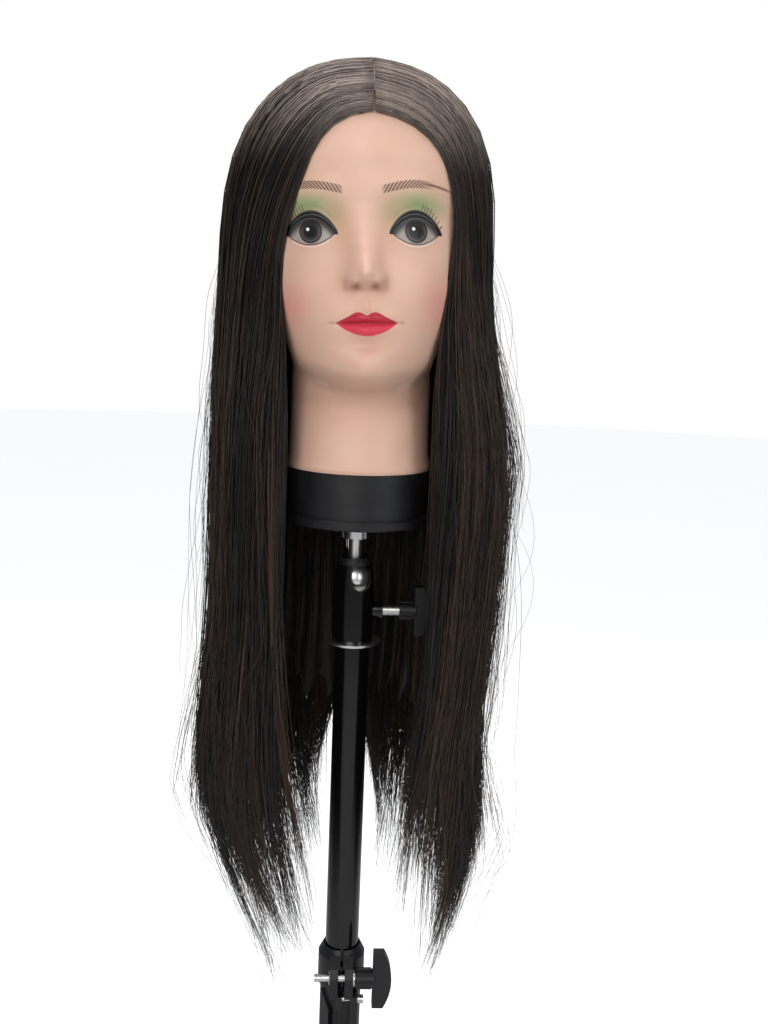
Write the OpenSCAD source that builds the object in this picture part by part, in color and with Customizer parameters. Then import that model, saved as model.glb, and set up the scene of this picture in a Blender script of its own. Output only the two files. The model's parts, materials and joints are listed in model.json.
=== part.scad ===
// Mannequin training head with a long wig, on a ball head, a telescopic mast and a folding tripod.
// Millimetres. Z = 0 is the floor, the mast stands on the Z axis and the face looks along -Y.

/* [Head] */
// Height of the head from the neck hem to the top of the skull
head_h = 264; // [220:1:300]
// Greatest width of the skull
head_w = 152; // [130:1:180]
// Depth of the skull from the forehead to the back
head_depth = 180; // [160:1:210]
// Diameter of the flared hem at the foot of the neck
hem_d = 102; // [96:1:115]
// Thickness of the vinyl skin
skin_t = 3.5; // [2.5:0.1:5]

/* [Wig] */
// Thickness of the hair over the crown
hair_crown_t = 6.5; // [4:0.5:10]
// Thickness of the hair at the temples
hair_side_t = 14; // [8:0.5:20]
// Thickness of the hanging hair
lock_t = 13; // [8:0.5:16]
// Half the width of the hanging hair at neck height
hair_half_w = 107; // [100:1:125]
// Length of the hanging side hair below the ears
side_len = 498; // [420:1:505]
// Length of the hanging back hair below the ears
back_len = 335; // [250:1:480]
// Width of the parting
part_w = 3; // [2:0.2:5]

/* [Mounting cap] */
// Diameter of the cap's drum
cap_d = 102; // [96:1:115]
// Diameter of the flange at the cap's foot
flange_d = 107.5; // [103:0.5:125]
// Height of the flange
flange_h = 7; // [5:0.5:10]
// Height of the whole cap under the neck
cap_h = 38; // [28:1:50]
// Diameter of the spigot that enters the neck
spigot_d = 88; // [80:0.5:90]
// Height of the spigot
spigot_h = 25; // [15:1:35]
// Wall of the cap
cap_wall = 3; // [2:0.2:4]

/* [Ball head] */
// Diameter of the ball
ball_d = 22; // [19:0.5:23]
// Diameter of the stud's stem
stem_d = 9.8; // [8:0.2:10.2]
// Distance from the ball's centre to the cap
stem_len = 43; // [36:1:60]
// Diameter of the notched nut
nut_d = 18.6; // [15:0.2:24]
// Height of the notched nut
nut_h = 14; // [8:0.5:16]
// Outside diameter of the ball housing
housing_d = 29.5; // [28:0.5:34]
// Height of the ball housing
housing_h = 56; // [50:1:70]
// Depth of the ball's centre below the housing's mouth
ball_drop = 10; // [9:0.5:12]
// Width of the side notch
notch_w = 14.5; // [11:0.5:16]
// Depth of the side notch
notch_depth = 17.5; // [14:0.5:22]
// Diameter of the washer under the housing
washer_d = 39; // [32:0.5:46]
// Thickness of the washer
washer_t = 1.6; // [1:0.1:3]

/* [Mast] */
// Outside diameter of the mast tube
mast_d = 25; // [22:0.5:26]
// Wall of the mast tube
mast_wall = 1.5; // [1:0.1:2.5]
// Length of the mast tube
mast_len = 590; // [520:5:600]
// Length of mast that shows above the collar at its lowest setting
mast_out = 238; // [200:1:262]
// Wall of the fixed outer tube
outer_wall = 1.5; // [1:0.1:2.5]
// Length of the fixed outer tube
outer_len = 372; // [330:1:376]

/* [Clamp collar] */
// Outside diameter of the collar
collar_d = 35; // [33:0.5:42]
// Height of the collar
collar_h = 31; // [28:1:40]
// Width of the pair of clamp ears
ear_w = 17.5; // [15:0.5:22]
// Reach of the ears from the mast's axis
ear_reach = 28; // [26:0.5:33]
// Width of the clamping slit
slit_w = 5; // [3:0.5:6]
// Diameter of the clamp screw
clamp_screw_d = 5.6; // [5:0.1:6.5]

/* [Tripod] */
// Height of the leg pivots above the floor
pivot_z = 345; // [330:1:400]
// Distance of the leg pivots from the mast's axis
pivot_r = 33; // [32:0.5:40]
// Angle of a leg from upright when it is open
leg_angle = 30; // [25:0.5:32]
// Width of a leg
leg_w = 6.4; // [5:0.2:9]
// Depth of a leg
leg_depth = 14; // [12:0.5:18]
// Wall of a leg
leg_wall = 1.2; // [0.8:0.1:2]
// Distance along the leg from its pivot to the brace
brace_at = 130; // [110:1:150]
// Length of a brace between its pins
brace_len = 130; // [120:1:150]
// Width of a brace strip
brace_w = 9; // [8:0.5:12]
// Thickness of a brace strip
brace_t = 2; // [1.5:0.1:3]
// Distance of the spider's pins from the mast's axis
spider_r = 25; // [24.5:0.5:28]
// Diameter of the tripod's rivets
rivet_d = 4; // [3:0.1:5]
// Length of a rubber foot
foot_len = 30; // [20:1:45]

/* [Hidden] */
$fn = 64;

gap = 0.3;                       // running clearance between parts that slide
fit = 0.05;                      // clearance between parts that seat in each other
thread_gap = 0.08;               // clearance of a screw in its thread
wig_gap = 1.6;                   // air between the skull and the inside of the wig
outer_d = mast_d + 2 * gap + 2 * outer_wall;
collar_z = pivot_z + 69;         // foot of the collar
tube_top = collar_z + 12;        // top of the outer tube, inside the collar
rim_z = collar_z + collar_h;     // top of the collar
washer_z = rim_z + mast_out;     // underside of the chrome washer
housing_z = washer_z + washer_t;
housing_top = housing_z + housing_h;
ball_z = housing_top - ball_drop;
cap_z = ball_z + stem_len;       // underside of the mounting cap
neck_z = cap_z + cap_h;          // hem of the neck
ear_share = 134 / 264;           // height of the ears as a share of the head's height
hang_z = neck_z + ear_share * head_h; // where the hair starts to hang, at the ears
ball_lock_z = ball_z - 24;
clamp_z = collar_z + 14;         // height of the clamp screw
clamp_y = -22;                   // the clamp screw passes in front of the mast
LEG_AT = [-90, 30, 150];         // compass angles of the three legs
knob_at = -30;                   // compass angle of the spider's knob
reach_in = pivot_r - spider_r;
brace_angle = asin((reach_in + brace_at * sin(leg_angle)) / brace_len);
spider_z = pivot_z - brace_at * cos(leg_angle) - brace_len * cos(brace_angle);
fold_slack = 8.4;                // lag of the spider behind the braces half way through the fold
cheek_t = 5.4;                   // thickness of a hub cheek
leg_len = pivot_z / cos(leg_angle);

// ---- Lofts -------------------------------------------------------------------------------

// Faces of a tube of closed rings of m points, capped by flat polygons.
function tube_faces(rows, m) = concat(
    [[for (j = [0 : m - 1]) j]],
    [for (k = [0 : rows - 2]) for (j = [0 : m - 1])
        [k * m + j, (k + 1) * m + j, (k + 1) * m + (j + 1) % m, k * m + (j + 1) % m]],
    [[for (j = [m - 1 : -1 : 0]) (rows - 1) * m + j]]);

// The same for bent rings: n points along the outside, then n back along the inside.
function bent_faces(rows, n) = concat(
    [for (j = [0 : n - 2]) [j, j + 1, 2 * n - 2 - j, 2 * n - 1 - j]],
    [for (k = [0 : rows - 2]) for (j = [0 : 2 * n - 1])
        [k * 2 * n + j, (k + 1) * 2 * n + j, (k + 1) * 2 * n + (j + 1) % (2 * n),
         k * 2 * n + (j + 1) % (2 * n)]],
    [for (j = [0 : n - 2])
        [for (i = [2 * n - 1 - j, 2 * n - 2 - j, j + 1, j]) (rows - 1) * 2 * n + i]]);

// ---- The head's form, from tables of height share against size share ----------------------

// Front, back and half width of the bare head, as shares of its depth and width.
FRONT = [[0, -0.283], [0.03, -0.272], [0.09, -0.262], [0.17, -0.268], [0.20, -0.32],
         [0.225, -0.43], [0.25, -0.485], [0.30, -0.505], [0.37, -0.522], [0.45, -0.525],
         [0.55, -0.515], [0.64, -0.518], [0.75, -0.520], [0.84, -0.485], [0.91, -0.40],
         [0.96, -0.28], [0.99, -0.14], [1, -0.03]];
BACK = [[0, 0.283], [0.03, 0.272], [0.10, 0.266], [0.20, 0.275], [0.30, 0.315], [0.40, 0.385],
        [0.50, 0.445], [0.60, 0.478], [0.70, 0.485], [0.80, 0.455], [0.88, 0.38],
        [0.94, 0.28], [0.98, 0.16], [1, 0.04]];
HALF_W = [[0, 0.335], [0.03, 0.322], [0.09, 0.318], [0.17, 0.320], [0.225, 0.335],
          [0.30, 0.370], [0.37, 0.395], [0.45, 0.425], [0.55, 0.470], [0.65, 0.497],
          [0.72, 0.5], [0.80, 0.475], [0.88, 0.395], [0.94, 0.29], [0.98, 0.17], [1, 0.05]];

function bump(x, centre, spread) = exp(-pow((x - centre) / spread, 2));

// How far the features of the face stand out at height share t and side offset x.
function feature(t, x) =
    17 * bump(t, 0.455, 0.028) * bump(x, 0, 9)
    + 9 * bump(t, 0.535, 0.05) * bump(x, 0, 8)
    + 5 * bump(t, 0.365, 0.022) * bump(x, 0, 18)
    + 5 * bump(t, 0.27, 0.03) * bump(x, 0, 17)
    - 5 * bump(t, 0.585, 0.03) * bump(abs(x), 33, 13)
    + 3 * bump(t, 0.655, 0.02) * bump(abs(x), 30, 17);

// A point of the head at height share t and angle a, a = 0 in front and 90 at +X,
// standing out by grow.
function head_pt(t, a, grow) =
    let (f = lookup(t, FRONT) * head_depth, b = lookup(t, BACK) * head_depth,
         w = lookup(t, HALF_W) * head_w, hem = (hem_d / 2) / (0.335 * head_w),
         k = 1 + (hem - 1) * bump(t, 0, 0.12),
         c = (f + b) / 2, h = (b - f) / 2 * k, half = w * k,
         narrow = t > 0.17 ? 1 - 0.16 * pow(max(0, cos(a)), 2) * bump(t, 0.25, 0.12) : 1,
         x = sin(a) * (half + grow) * narrow,
         out = cos(a) > 0 ? feature(t, x) : 0)
    [x, c - cos(a) * (h + grow) - out, neck_z + t * head_h + (t > 0.8 ? grow * (t - 0.8) * 5 : 0)];

ROUND = 40;                      // points round the head
OUT_ROWS = [0, 0.015, 0.04, 0.09, 0.14, 0.175, 0.2, 0.225, 0.25, 0.275, 0.3, 0.325, 0.345,
            0.365, 0.385, 0.41, 0.435, 0.455, 0.475, 0.5, 0.53, 0.56, 0.59, 0.62, 0.65, 0.69,
            0.74, 0.79, 0.84, 0.88, 0.915, 0.945, 0.97, 0.985, 0.995, 1];
IN_ROWS = [0.975, 0.94, 0.88, 0.8, 0.7, 0.6, 0.5, 0.42, 0.36, 0.3, 0.24, 0.19];

module head_shell() {
    socket_r = (spigot_d / 2 + fit) / cos(180 / ROUND);
    rings = concat(
        [for (t = IN_ROWS) [for (j = [0 : ROUND - 1])
            let (p = head_pt(t, 360 * j / ROUND, -skin_t), q = t * 0.975)
            [p.x, p.y + (cos(360 * j / ROUND) > 0 ? feature(t, p.x) : 0), neck_z + q * head_h]]],
        [for (z = [0.14 * head_h, 0]) [for (j = [0 : ROUND - 1])
            let (a = 360 * j / ROUND)
            [socket_r * sin(a), -socket_r * cos(a), neck_z + z]]],
        [for (t = OUT_ROWS) [for (j = [0 : ROUND - 1]) head_pt(t, 360 * j / ROUND, 0)]]);
    color([0.93, 0.76, 0.68])
    polyhedron(points = [for (r = rings) each r], faces = tube_faces(len(rings), ROUND),
               convexity = 10);
}

// ---- Wig ---------------------------------------------------------------------------------

// Half of the opening of the hair over the face, as sideways distance, on each side.
OPEN_RIGHT = [[0.555, 53], [0.63, 54], [0.72, 50], [0.79, 38], [0.85, 20], [0.87, 6],
              [0.88, 1.5], [1, 1.5]];
OPEN_LEFT = [[0.555, 55], [0.63, 50], [0.72, 40], [0.79, 33], [0.85, 24], [0.87, 12],
             [0.88, 1.5], [1, 1.5]];
CROWN_ROWS = [0.565, 0.6, 0.64, 0.68, 0.72, 0.76, 0.8, 0.83, 0.855, 0.875, 0.89, 0.92, 0.945,
              0.965, 0.98, 0.992, 1];

// Angle from the front at which the edge of the hair lies, for an opening x at height share t.
function edge_angle(t, table) =
    asin(min(0.93, lookup(t, table) * part_w / 3 / (lookup(t, HALF_W) * head_w)));

module wig_crown() {
    n = 27;
    rings = [for (t = CROWN_ROWS)
        let (a0 = edge_angle(t, OPEN_RIGHT), a1 = 360 - edge_angle(t, OPEN_LEFT),
             thick = t > 0.7 ? hair_side_t + (hair_crown_t - hair_side_t) * min(1, (t - 0.7) / 0.18)
                             : hair_side_t)
        concat(
            [for (j = [0 : n - 1]) head_pt(t, a0 + (a1 - a0) * j / (n - 1), thick)],
            [for (j = [n - 1 : -1 : 0]) head_pt(t, a0 + (a1 - a0) * j / (n - 1), wig_gap)])];
    whorl = [for (p = rings[len(rings) - 1]) [p.x * 0.08, (p.y + 6) * 0.08 - 6, p.z + 0.3]];
    color([0.11, 0.08, 0.07])
    polyhedron(points = [for (r = concat(rings, [whorl])) each r],
               faces = bent_faces(len(rings) + 1, n), convexity = 10);
}

module parting_strip() {
    rows = [for (t = CROWN_ROWS) if (t > 0.88) t];
    pts = [for (t = rows) for (s = [[-1, 2.4], [1, 2.4], [1, 0.9], [-1, 0.9]])
        let (p = head_pt(t, 0, s[1])) [s[0] * part_w * 0.3, p.y, p.z]];
    color("white")
    polyhedron(points = pts, faces = tube_faces(len(rows), 4), convexity = 4);
}

// Half widths of the hanging hair from the ears down, against the height share above its tips.
HANG_X = [[0, 0.80], [0.16, 0.92], [0.35, 1], [0.72, 1], [1, 0.95]];
HANG_Y = [[0, 0.72], [0.16, 0.84], [0.35, 0.93], [0.72, 0.99], [1, 1]];
hang_y0 = 14;                    // the hair hangs round a centre behind the mast
hair_back_r = 100;               // reach of the back hair from that centre

module hanging_hair(from, to, length, n) {
    rows = 13;
    top = hang_z - 8;
    rings = [for (k = [0 : rows - 1])
        let (s = k / (rows - 1), z = top - length * (1 - s),
             h = 1 - (top - z) / side_len,
             rx = hair_half_w * lookup(h, HANG_X), ry = hair_back_r * lookup(h, HANG_Y),
             taper = min(1, 0.45 + 3 * s), mid = (from + to) / 2,
             half = (to - from) / 2 * min(1, 0.55 + 2 * s))
        concat(
            [for (j = [0 : n - 1]) let (a = mid - half + 2 * half * j / (n - 1))
                [rx * cos(a), hang_y0 + ry * sin(a), z]],
            [for (j = [n - 1 : -1 : 0]) let (a = mid - half + 2 * half * j / (n - 1))
                [(rx - lock_t * taper) * cos(a), hang_y0 + (ry - lock_t * taper) * sin(a), z]])];
    polyhedron(points = [for (r = rings) each r], faces = bent_faces(rows, n), convexity = 10);
}

module hair_right() { color([0.10, 0.07, 0.06]) hanging_hair(-46, 66, side_len, 13); }
module hair_left() { color([0.10, 0.07, 0.06]) hanging_hair(114, 226, side_len, 13); }
module hair_back() { color([0.09, 0.06, 0.05]) hanging_hair(67, 113, back_len, 8); }

// ---- Mounting cap and ball head ------------------------------------------------------------

module mount_cap() {
    deck = cap_z + cap_h;
    insert_r = 8;
    color([0.08, 0.08, 0.08])
    rotate_extrude($fn = 128)
    polygon([[insert_r, cap_z], [flange_d / 2 - 1, cap_z], [flange_d / 2, cap_z + 1],
             [flange_d / 2, cap_z + flange_h - 1.5], [flange_d / 2 - 1.5, cap_z + flange_h],
             [cap_d / 2, cap_z + flange_h], [cap_d / 2, deck], [spigot_d / 2, deck],
             [spigot_d / 2, deck + spigot_h - 1.5], [spigot_d / 2 - 1.5, deck + spigot_h],
             [spigot_d / 2 - cap_wall, deck + spigot_h], [spigot_d / 2 - cap_wall, deck - cap_wall],
             [cap_d / 2 - cap_wall, deck - cap_wall], [cap_d / 2 - cap_wall, cap_z + cap_wall + 1],
             [insert_r + cap_wall, cap_z + cap_wall + 1], [insert_r + cap_wall, cap_z + 28],
             [insert_r, cap_z + 28]]);
}

stud_thread_d = 8;
insert_len = 24;

module cap_insert() {
    color("silver")
    translate([0, 0, cap_z + 2])
    difference() {
        cylinder(d = 16, h = insert_len);
        translate([0, 0, -1]) cylinder(d = stud_thread_d, h = insert_len + 2);
    }
}

module stud_nut() {
    color("silver")
    translate([0, 0, cap_z - nut_h])
    difference() {
        cylinder(d = nut_d, h = nut_h);
        translate([0, 0, -1]) cylinder(d = stem_d + 2 * fit, h = nut_h + 2);
        for (a = [15 : 60 : 345])
            rotate([0, 0, a]) translate([nut_d / 2 - 1.6, -1.1, -1]) cube([3, 2.2, nut_h + 2]);
    }
}

module ball_stud() {
    color("silver") {
        translate([0, 0, ball_z]) sphere(d = ball_d);
        translate([0, 0, ball_z + ball_d / 2 - 2]) cylinder(d = stem_d, h = stem_len - ball_d / 2 + 2);
        translate([0, 0, cap_z - 0.5]) cylinder(d = stud_thread_d, h = insert_len + 1);
    }
}

seat_z = ball_z - ball_d / 2 - 7;

module ball_seat() {
    color("whitesmoke")
    difference() {
        translate([0, 0, seat_z]) cylinder(d = ball_d - 1, h = 11);
        translate([0, 0, ball_z]) sphere(d = ball_d + 2 * 0.15);
    }
}

ring_d = housing_d - 5;

module retaining_ring() {
    color([0.05, 0.05, 0.05])
    translate([0, 0, housing_top])
    rotate_extrude()
    polygon([[9.4, 0], [ring_d / 2, 0], [ring_d / 2, 2.5], [ring_d / 2 - 1.5, 5.5], [9.4, 5.5]]);
}

bore_r = ball_d / 2 + 0.2;       // bore that the ball rises through
mouth_r = stem_d / 2 + 4.2;      // mouth that the stem leaves by

module ball_housing() {
    tail_r = mast_d / 2 - mast_wall - 2.5;
    color([0.04, 0.04, 0.04])
    difference() {
        union() {
            translate([0, 0, housing_z]) cylinder(d = housing_d, h = housing_h - 17);
            translate([0, 0, housing_top - 17])
                cylinder(r1 = housing_d / 2, r2 = ring_d / 2 + 0.6, h = 17);
            translate([0, 0, housing_z - 14]) cylinder(r = tail_r, h = 15);
            translate([0, 0, ball_lock_z]) rotate([0, 90, 0]) cylinder(d = 12, h = 21);
        }
        translate([0, 0, ball_z]) sphere(r = bore_r);
        translate([0, 0, seat_z - 12]) cylinder(r = bore_r, h = ball_z - seat_z + 12);
        translate([0, 0, ball_z]) cylinder(r = mouth_r, h = ball_drop + 1);
        translate([0, 0, ball_lock_z]) rotate([0, 90, 0])
            cylinder(d = lock_screw_d + 2 * gap, h = 30);
        rotate([0, 0, -68]) translate([0, 0, housing_top - notch_depth + notch_w / 2])
            rotate([0, 90, 0]) cylinder(d = notch_w, h = 30);
        rotate([0, 0, -68])
            translate([0, -notch_w / 2, housing_top - notch_depth + notch_w / 2])
            cube([30, notch_w, 30]);
    }
}

lock_screw_d = 7.6;

module ball_lock_screw() {
    color("silver")
    translate([0, 0, ball_lock_z]) rotate([0, 90, 0]) translate([0, 0, 5])
        cylinder(d = lock_screw_d, h = 40);
}

// A moulded T-shaped thumb knob: hub from x = 0 to hub_len, grip beyond it, axis along X.
module thumb_knob(hub_d, hub_len, grip_t, grip_w, grip_h, bore_d, bore_len) {
    difference() {
        union() {
            rotate([0, 90, 0]) cylinder(d = hub_d, h = hub_len + 1);
            for (a = [0 : 45 : 315]) rotate([a, 0, 0])
                translate([1, -0.8, hub_d / 2 - 0.6]) cube([hub_len - 2, 1.6, 1.3]);
            translate([hub_len, -grip_w / 2, 0]) rotate([90, 0, 90]) linear_extrude(grip_t * 0.55)
                translate([0, -grip_h / 2]) square([grip_w, grip_h]);
            // bowed outer edge
            intersection() {
                translate([hub_len + grip_t - grip_h, 0, 0]) rotate([90, 0, 0])
                    cylinder(r = grip_h, h = grip_w, center = true, $fn = 96);
                translate([hub_len, -grip_w / 2, -grip_h / 2]) cube([grip_t + 1, grip_w, grip_h]);
            }
        }
        translate([-1, 0, 0]) rotate([0, 90, 0]) cylinder(d = bore_d, h = bore_len + 1);
    }
}

module ball_lock_knob() {
    color([0.08, 0.08, 0.08])
    translate([33, 0, ball_lock_z]) thumb_knob(12, 11, 11, 8, 36, lock_screw_d, 12);
}

module top_washer() {
    plug_r = mast_d / 2 - mast_wall - 2.5;
    color("silver")
    translate([0, 0, washer_z])
    difference() {
        cylinder(d = washer_d, h = washer_t);
        translate([0, 0, -1]) cylinder(r = plug_r + fit, h = washer_t + 2);
    }
}

// ---- Mast and outer tube -------------------------------------------------------------------

module mast_plug() {
    color([0.1, 0.1, 0.1])
    translate([0, 0, washer_z - 22])
    difference() {
        cylinder(r = mast_d / 2 - mast_wall, h = 22);
        translate([0, 0, -1]) cylinder(r = mast_d / 2 - mast_wall - 2.5, h = 24);
    }
}

module mast_tube() {
    color([0.04, 0.04, 0.04])
    translate([0, 0, washer_z - mast_len])
    difference() {
        cylinder(d = mast_d, h = mast_len);
        translate([0, 0, -1]) cylinder(d = mast_d - 2 * mast_wall, h = mast_len + 2);
    }
}

module mast_glide() {
    color([0.15, 0.15, 0.15])
    translate([0, 0, washer_z - mast_len - 3])
    difference() {
        union() {
            cylinder(d = mast_d, h = 3);
            cylinder(d = mast_d - 2 * mast_wall, h = 20);
        }
        translate([0, 0, -1]) cylinder(d = mast_d - 2 * mast_wall - 5, h = 30);
    }
}

module outer_tube() {
    color([0.04, 0.04, 0.04])
    translate([0, 0, tube_top - outer_len])
    difference() {
        cylinder(d = outer_d, h = outer_len);
        translate([0, 0, -1]) cylinder(d = outer_d - 2 * outer_wall, h = outer_len + 2);
    }
}

module tube_end_cap() {
    color([0.1, 0.1, 0.1])
    translate([0, 0, tube_top - outer_len - 3]) {
        cylinder(d = outer_d + 2, h = 3);
        cylinder(d = outer_d - 2 * outer_wall, h = 14);
    }
}

// ---- Clamp collar ---------------------------------------------------------------------------

module clamp_collar() {
    bore = mast_d / 2 + 0.15;
    ear_h = collar_h - 9;
    color([0.08, 0.08, 0.08])
    difference() {
        union() {
            translate([0, 0, collar_z]) cylinder(d = collar_d, h = collar_h - 7);
            translate([0, 0, rim_z - 7]) cylinder(r1 = collar_d / 2, r2 = bore + 1.2, h = 7);
            translate([ear_w / 2, 0, 0]) rotate([0, -90, 0]) linear_extrude(ear_w)
                polygon([[collar_z, -8], [collar_z, -ear_reach], [collar_z + ear_h - 6, -ear_reach],
                         [collar_z + ear_h, -ear_reach + 4], [rim_z - 3, -bore - 2], [rim_z - 3, -8]]);
        }
        translate([0, 0, collar_z - 1]) cylinder(d = outer_d, h = tube_top - collar_z + 1);
        translate([0, 0, collar_z]) cylinder(r = bore, h = collar_h + 1);
        translate([0, 0, rim_z - 4]) cylinder(r1 = bore, r2 = bore + 0.9, h = 4.01);
        translate([-slit_w / 2, -ear_reach - 1, collar_z - 1])
            cube([slit_w, ear_reach - bore + 4, collar_h - 8]);
        translate([-1, -ear_reach - 1, collar_z - 1]) cube([2, ear_reach, collar_h + 2]);
        translate([0, clamp_y, clamp_z]) rotate([0, 90, 0])
            cylinder(d = clamp_screw_d + 2 * gap, h = 60, center = true);
        // hexagonal pocket for the nut
        translate([-ear_w / 2 - 1, clamp_y, clamp_z]) rotate([0, 90, 0])
            cylinder(d = clamp_nut_d + 0.4, h = 4, $fn = 6);
    }
}

clamp_nut_d = 10.5;

module clamp_nut() {
    color("silver")
    translate([-ear_w / 2 - 0.5, clamp_y, clamp_z]) rotate([0, 90, 0])
    difference() {
        cylinder(d = clamp_nut_d, h = 3.4, $fn = 6);
        translate([0, 0, -1]) cylinder(d = clamp_screw_d + 2 * thread_gap, h = 6);
    }
}

module clamp_screw() {
    tip = -ear_w / 2 - 11.5;
    color("silver")
    translate([tip, clamp_y, clamp_z]) rotate([0, 90, 0]) cylinder(d = clamp_screw_d, h = 22 - tip);
}

module clamp_washer() {
    color("silver")
    translate([ear_w / 2, clamp_y, clamp_z]) rotate([0, 90, 0])
    difference() {
        cylinder(d = 12.5, h = 1.2);
        translate([0, 0, -1]) cylinder(d = clamp_screw_d + 2 * gap, h = 4);
    }
}

module clamp_knob() {
    color([0.08, 0.08, 0.08])
    translate([ear_w / 2 + 1.2 + gap, clamp_y, clamp_z])
        thumb_knob(14, 13, 14, 8.5, 44, clamp_screw_d, 15);
}

// ---- Tripod ---------------------------------------------------------------------------------

hub_z = pivot_z - 13;            // foot of the hub

// A hub cheek is a plate in the leg's own plane, drawn as [distance from the mast, height].
module cheek_pair() {
    for (side = [-1, 1])
        translate([0, side * (leg_w / 2 + gap + cheek_t / 2) + cheek_t / 2, 0]) rotate([90, 0, 0])
        linear_extrude(cheek_t) {
            polygon([[outer_d / 2 + 0.5, hub_z + 1], [pivot_r - 1, pivot_z - 7.5],
                     [pivot_r - 1, pivot_z + 7.5], [outer_d / 2 + 0.5, pivot_z + 12.5]]);
            translate([pivot_r, pivot_z]) circle(r = 8);
        }
}

module tripod_hub() {
    rib_reach = 23.5;
    color([0.07, 0.07, 0.07])
    difference() {
        union() {
            translate([0, 0, hub_z]) cylinder(d = outer_d + 2.4, h = collar_z - hub_z);
            rotate([0, 0, 97]) translate([0, 0, hub_z]) cylinder(d = outer_d + 7, h = 23.5);
            for (a = LEG_AT) rotate([0, 0, a]) cheek_pair();
            // twin rib down the front
            translate([-4.5, -rib_reach, pivot_z + 8]) cube([17, rib_reach - outer_d / 2 + 2,
                                                            collar_z - pivot_z - 9]);
            // side fin with an oval window
            rotate([0, 0, 38]) translate([-3, 0, 0]) rotate([0, -90, 0])
                translate([0, 0, outer_d / 2 - 4]) linear_extrude(4.2)
                polygon([[pivot_z + 14, -8], [pivot_z + 14, 2], [collar_z - 3, 2],
                         [collar_z - 16, -8]]);
        }
        translate([0, 0, hub_z - 1]) cylinder(d = outer_d, h = collar_z - hub_z + 2);
        translate([1, -rib_reach - 1, pivot_z]) cube([6, 7, 80]);
        for (a = LEG_AT) rotate([0, 0, a]) translate([pivot_r, 0, pivot_z]) rotate([90, 0, 0])
            cylinder(d = rivet_d + 1, h = 40, center = true);
        translate([0, -rib_reach + 4.5, collar_z - 5]) rotate([0, 90, 0])
            cylinder(d = rivet_d, h = 60, center = true);
        for (a = LEG_AT) rotate([0, 0, a])
            translate([outer_d / 2 + 4, -leg_w / 2 - gap, hub_z - 10]) cube([60, leg_w + 2 * gap, 80]);
    }
}

module hub_screw() {
    color("silver")
    translate([-4.5, -19, collar_z - 5]) rotate([0, 90, 0]) {
        cylinder(d = rivet_d, h = 17);
        translate([0, 0, 17]) cylinder(d = 6.4, h = 4.5);
    }
}

module leg_rivets() {
    span = leg_w + 2 * gap + 2 * cheek_t;
    color("silver")
    for (a = LEG_AT) rotate([0, 0, a]) translate([pivot_r, 0, pivot_z]) rotate([90, 0, 0]) {
        cylinder(d = rivet_d + 1, h = span, center = true);
        for (side = [-1, 1])
            translate([0, 0, side * (span / 2 + 0.7)]) cylinder(d = 8, h = 1.4, center = true);
    }
}

// Puts its children in the frame of leg i: pivot at the origin, leg along -Z, outward along +X.
module at_leg(i) {
    rotate([0, 0, LEG_AT[i]]) translate([pivot_r, 0, pivot_z]) rotate([0, -leg_angle, 0]) children();
}

module leg(i) {
    bore = rivet_d + 1 + 2 * thread_gap;
    color([0.05, 0.05, 0.05])
    at_leg(i)
    difference() {
        union() {
            translate([-leg_depth / 2, -leg_w / 2, -leg_len + 6]) cube([leg_depth, leg_w, leg_len - 6]);
            rotate([90, 0, 0]) cylinder(d = leg_depth, h = leg_w, center = true);
        }
        translate([-leg_depth / 2 - 1, -leg_w / 2 + leg_wall, -leg_len])
            cube([leg_depth + 1 - leg_wall, leg_w - 2 * leg_wall, leg_len - 10]);
        rotate([90, 0, 0]) cylinder(d = bore, h = 30, center = true);
        translate([0, 0, -brace_at]) rotate([90, 0, 0])
            cylinder(d = rivet_d + 2 * thread_gap, h = 30, center = true);
    }
}

module leg_1() { leg(0); }
module leg_2() { leg(1); }
module leg_3() { leg(2); }

module foot(i) {
    color([0.12, 0.12, 0.12])
    difference() {
        at_leg(i) translate([0, 0, -leg_len - 12]) linear_extrude(foot_len + 12)
        difference() {
            hull() for (x = [-6, 6]) translate([x, 0]) circle(r = 6.5, $fn = 32);
            translate([-leg_depth / 2, -leg_w / 2]) square([leg_depth, leg_w]);
        }
        translate([-500, -500, -100]) cube([1000, 1000, 100]);
    }
    color([0.12, 0.12, 0.12])
    difference() {
        at_leg(i) translate([-leg_depth / 2, -leg_w / 2, -leg_len - 12]) cube([leg_depth, leg_w, 17.9]);
        translate([-500, -500, -100]) cube([1000, 1000, 100]);
    }
}

module foot_1() { foot(0); }
module foot_2() { foot(1); }
module foot_3() { foot(2); }

// Puts its children at the upper pin of brace i, with the brace running down along -Z.
module at_brace(i) {
    at_leg(i) translate([0, 0, -brace_at]) rotate([0, leg_angle + brace_angle, 0]) children();
}

strip_y = leg_w / 2 + gap;       // inner face of a brace strip

module brace(i) {
    color([0.06, 0.06, 0.06])
    at_brace(i)
    for (side = [-1, 1])
        translate([0, side * (strip_y + brace_t / 2), 0]) rotate([90, 0, 0])
        difference() {
            hull() {
                cylinder(d = brace_w, h = brace_t, center = true, $fn = 32);
                translate([0, -brace_len, 0])
                    cylinder(d = brace_w, h = brace_t, center = true, $fn = 32);
            }
            cylinder(d = rivet_d, h = 10, center = true);
            translate([0, -brace_len, 0]) cylinder(d = rivet_d, h = 10, center = true);
        }
}

module brace_1() { brace(0); }
module brace_2() { brace(1); }
module brace_3() { brace(2); }

module brace_pins(i) {
    span = 2 * (strip_y + brace_t);
    color("silver")
    at_brace(i)
    for (z = [0, -brace_len]) translate([0, 0, z]) rotate([90, 0, 0]) {
        cylinder(d = rivet_d, h = span, center = true);
        for (side = [-1, 1])
            translate([0, 0, side * (span / 2 + 0.5)]) cylinder(d = 7, h = 1, center = true);
    }
}

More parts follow.
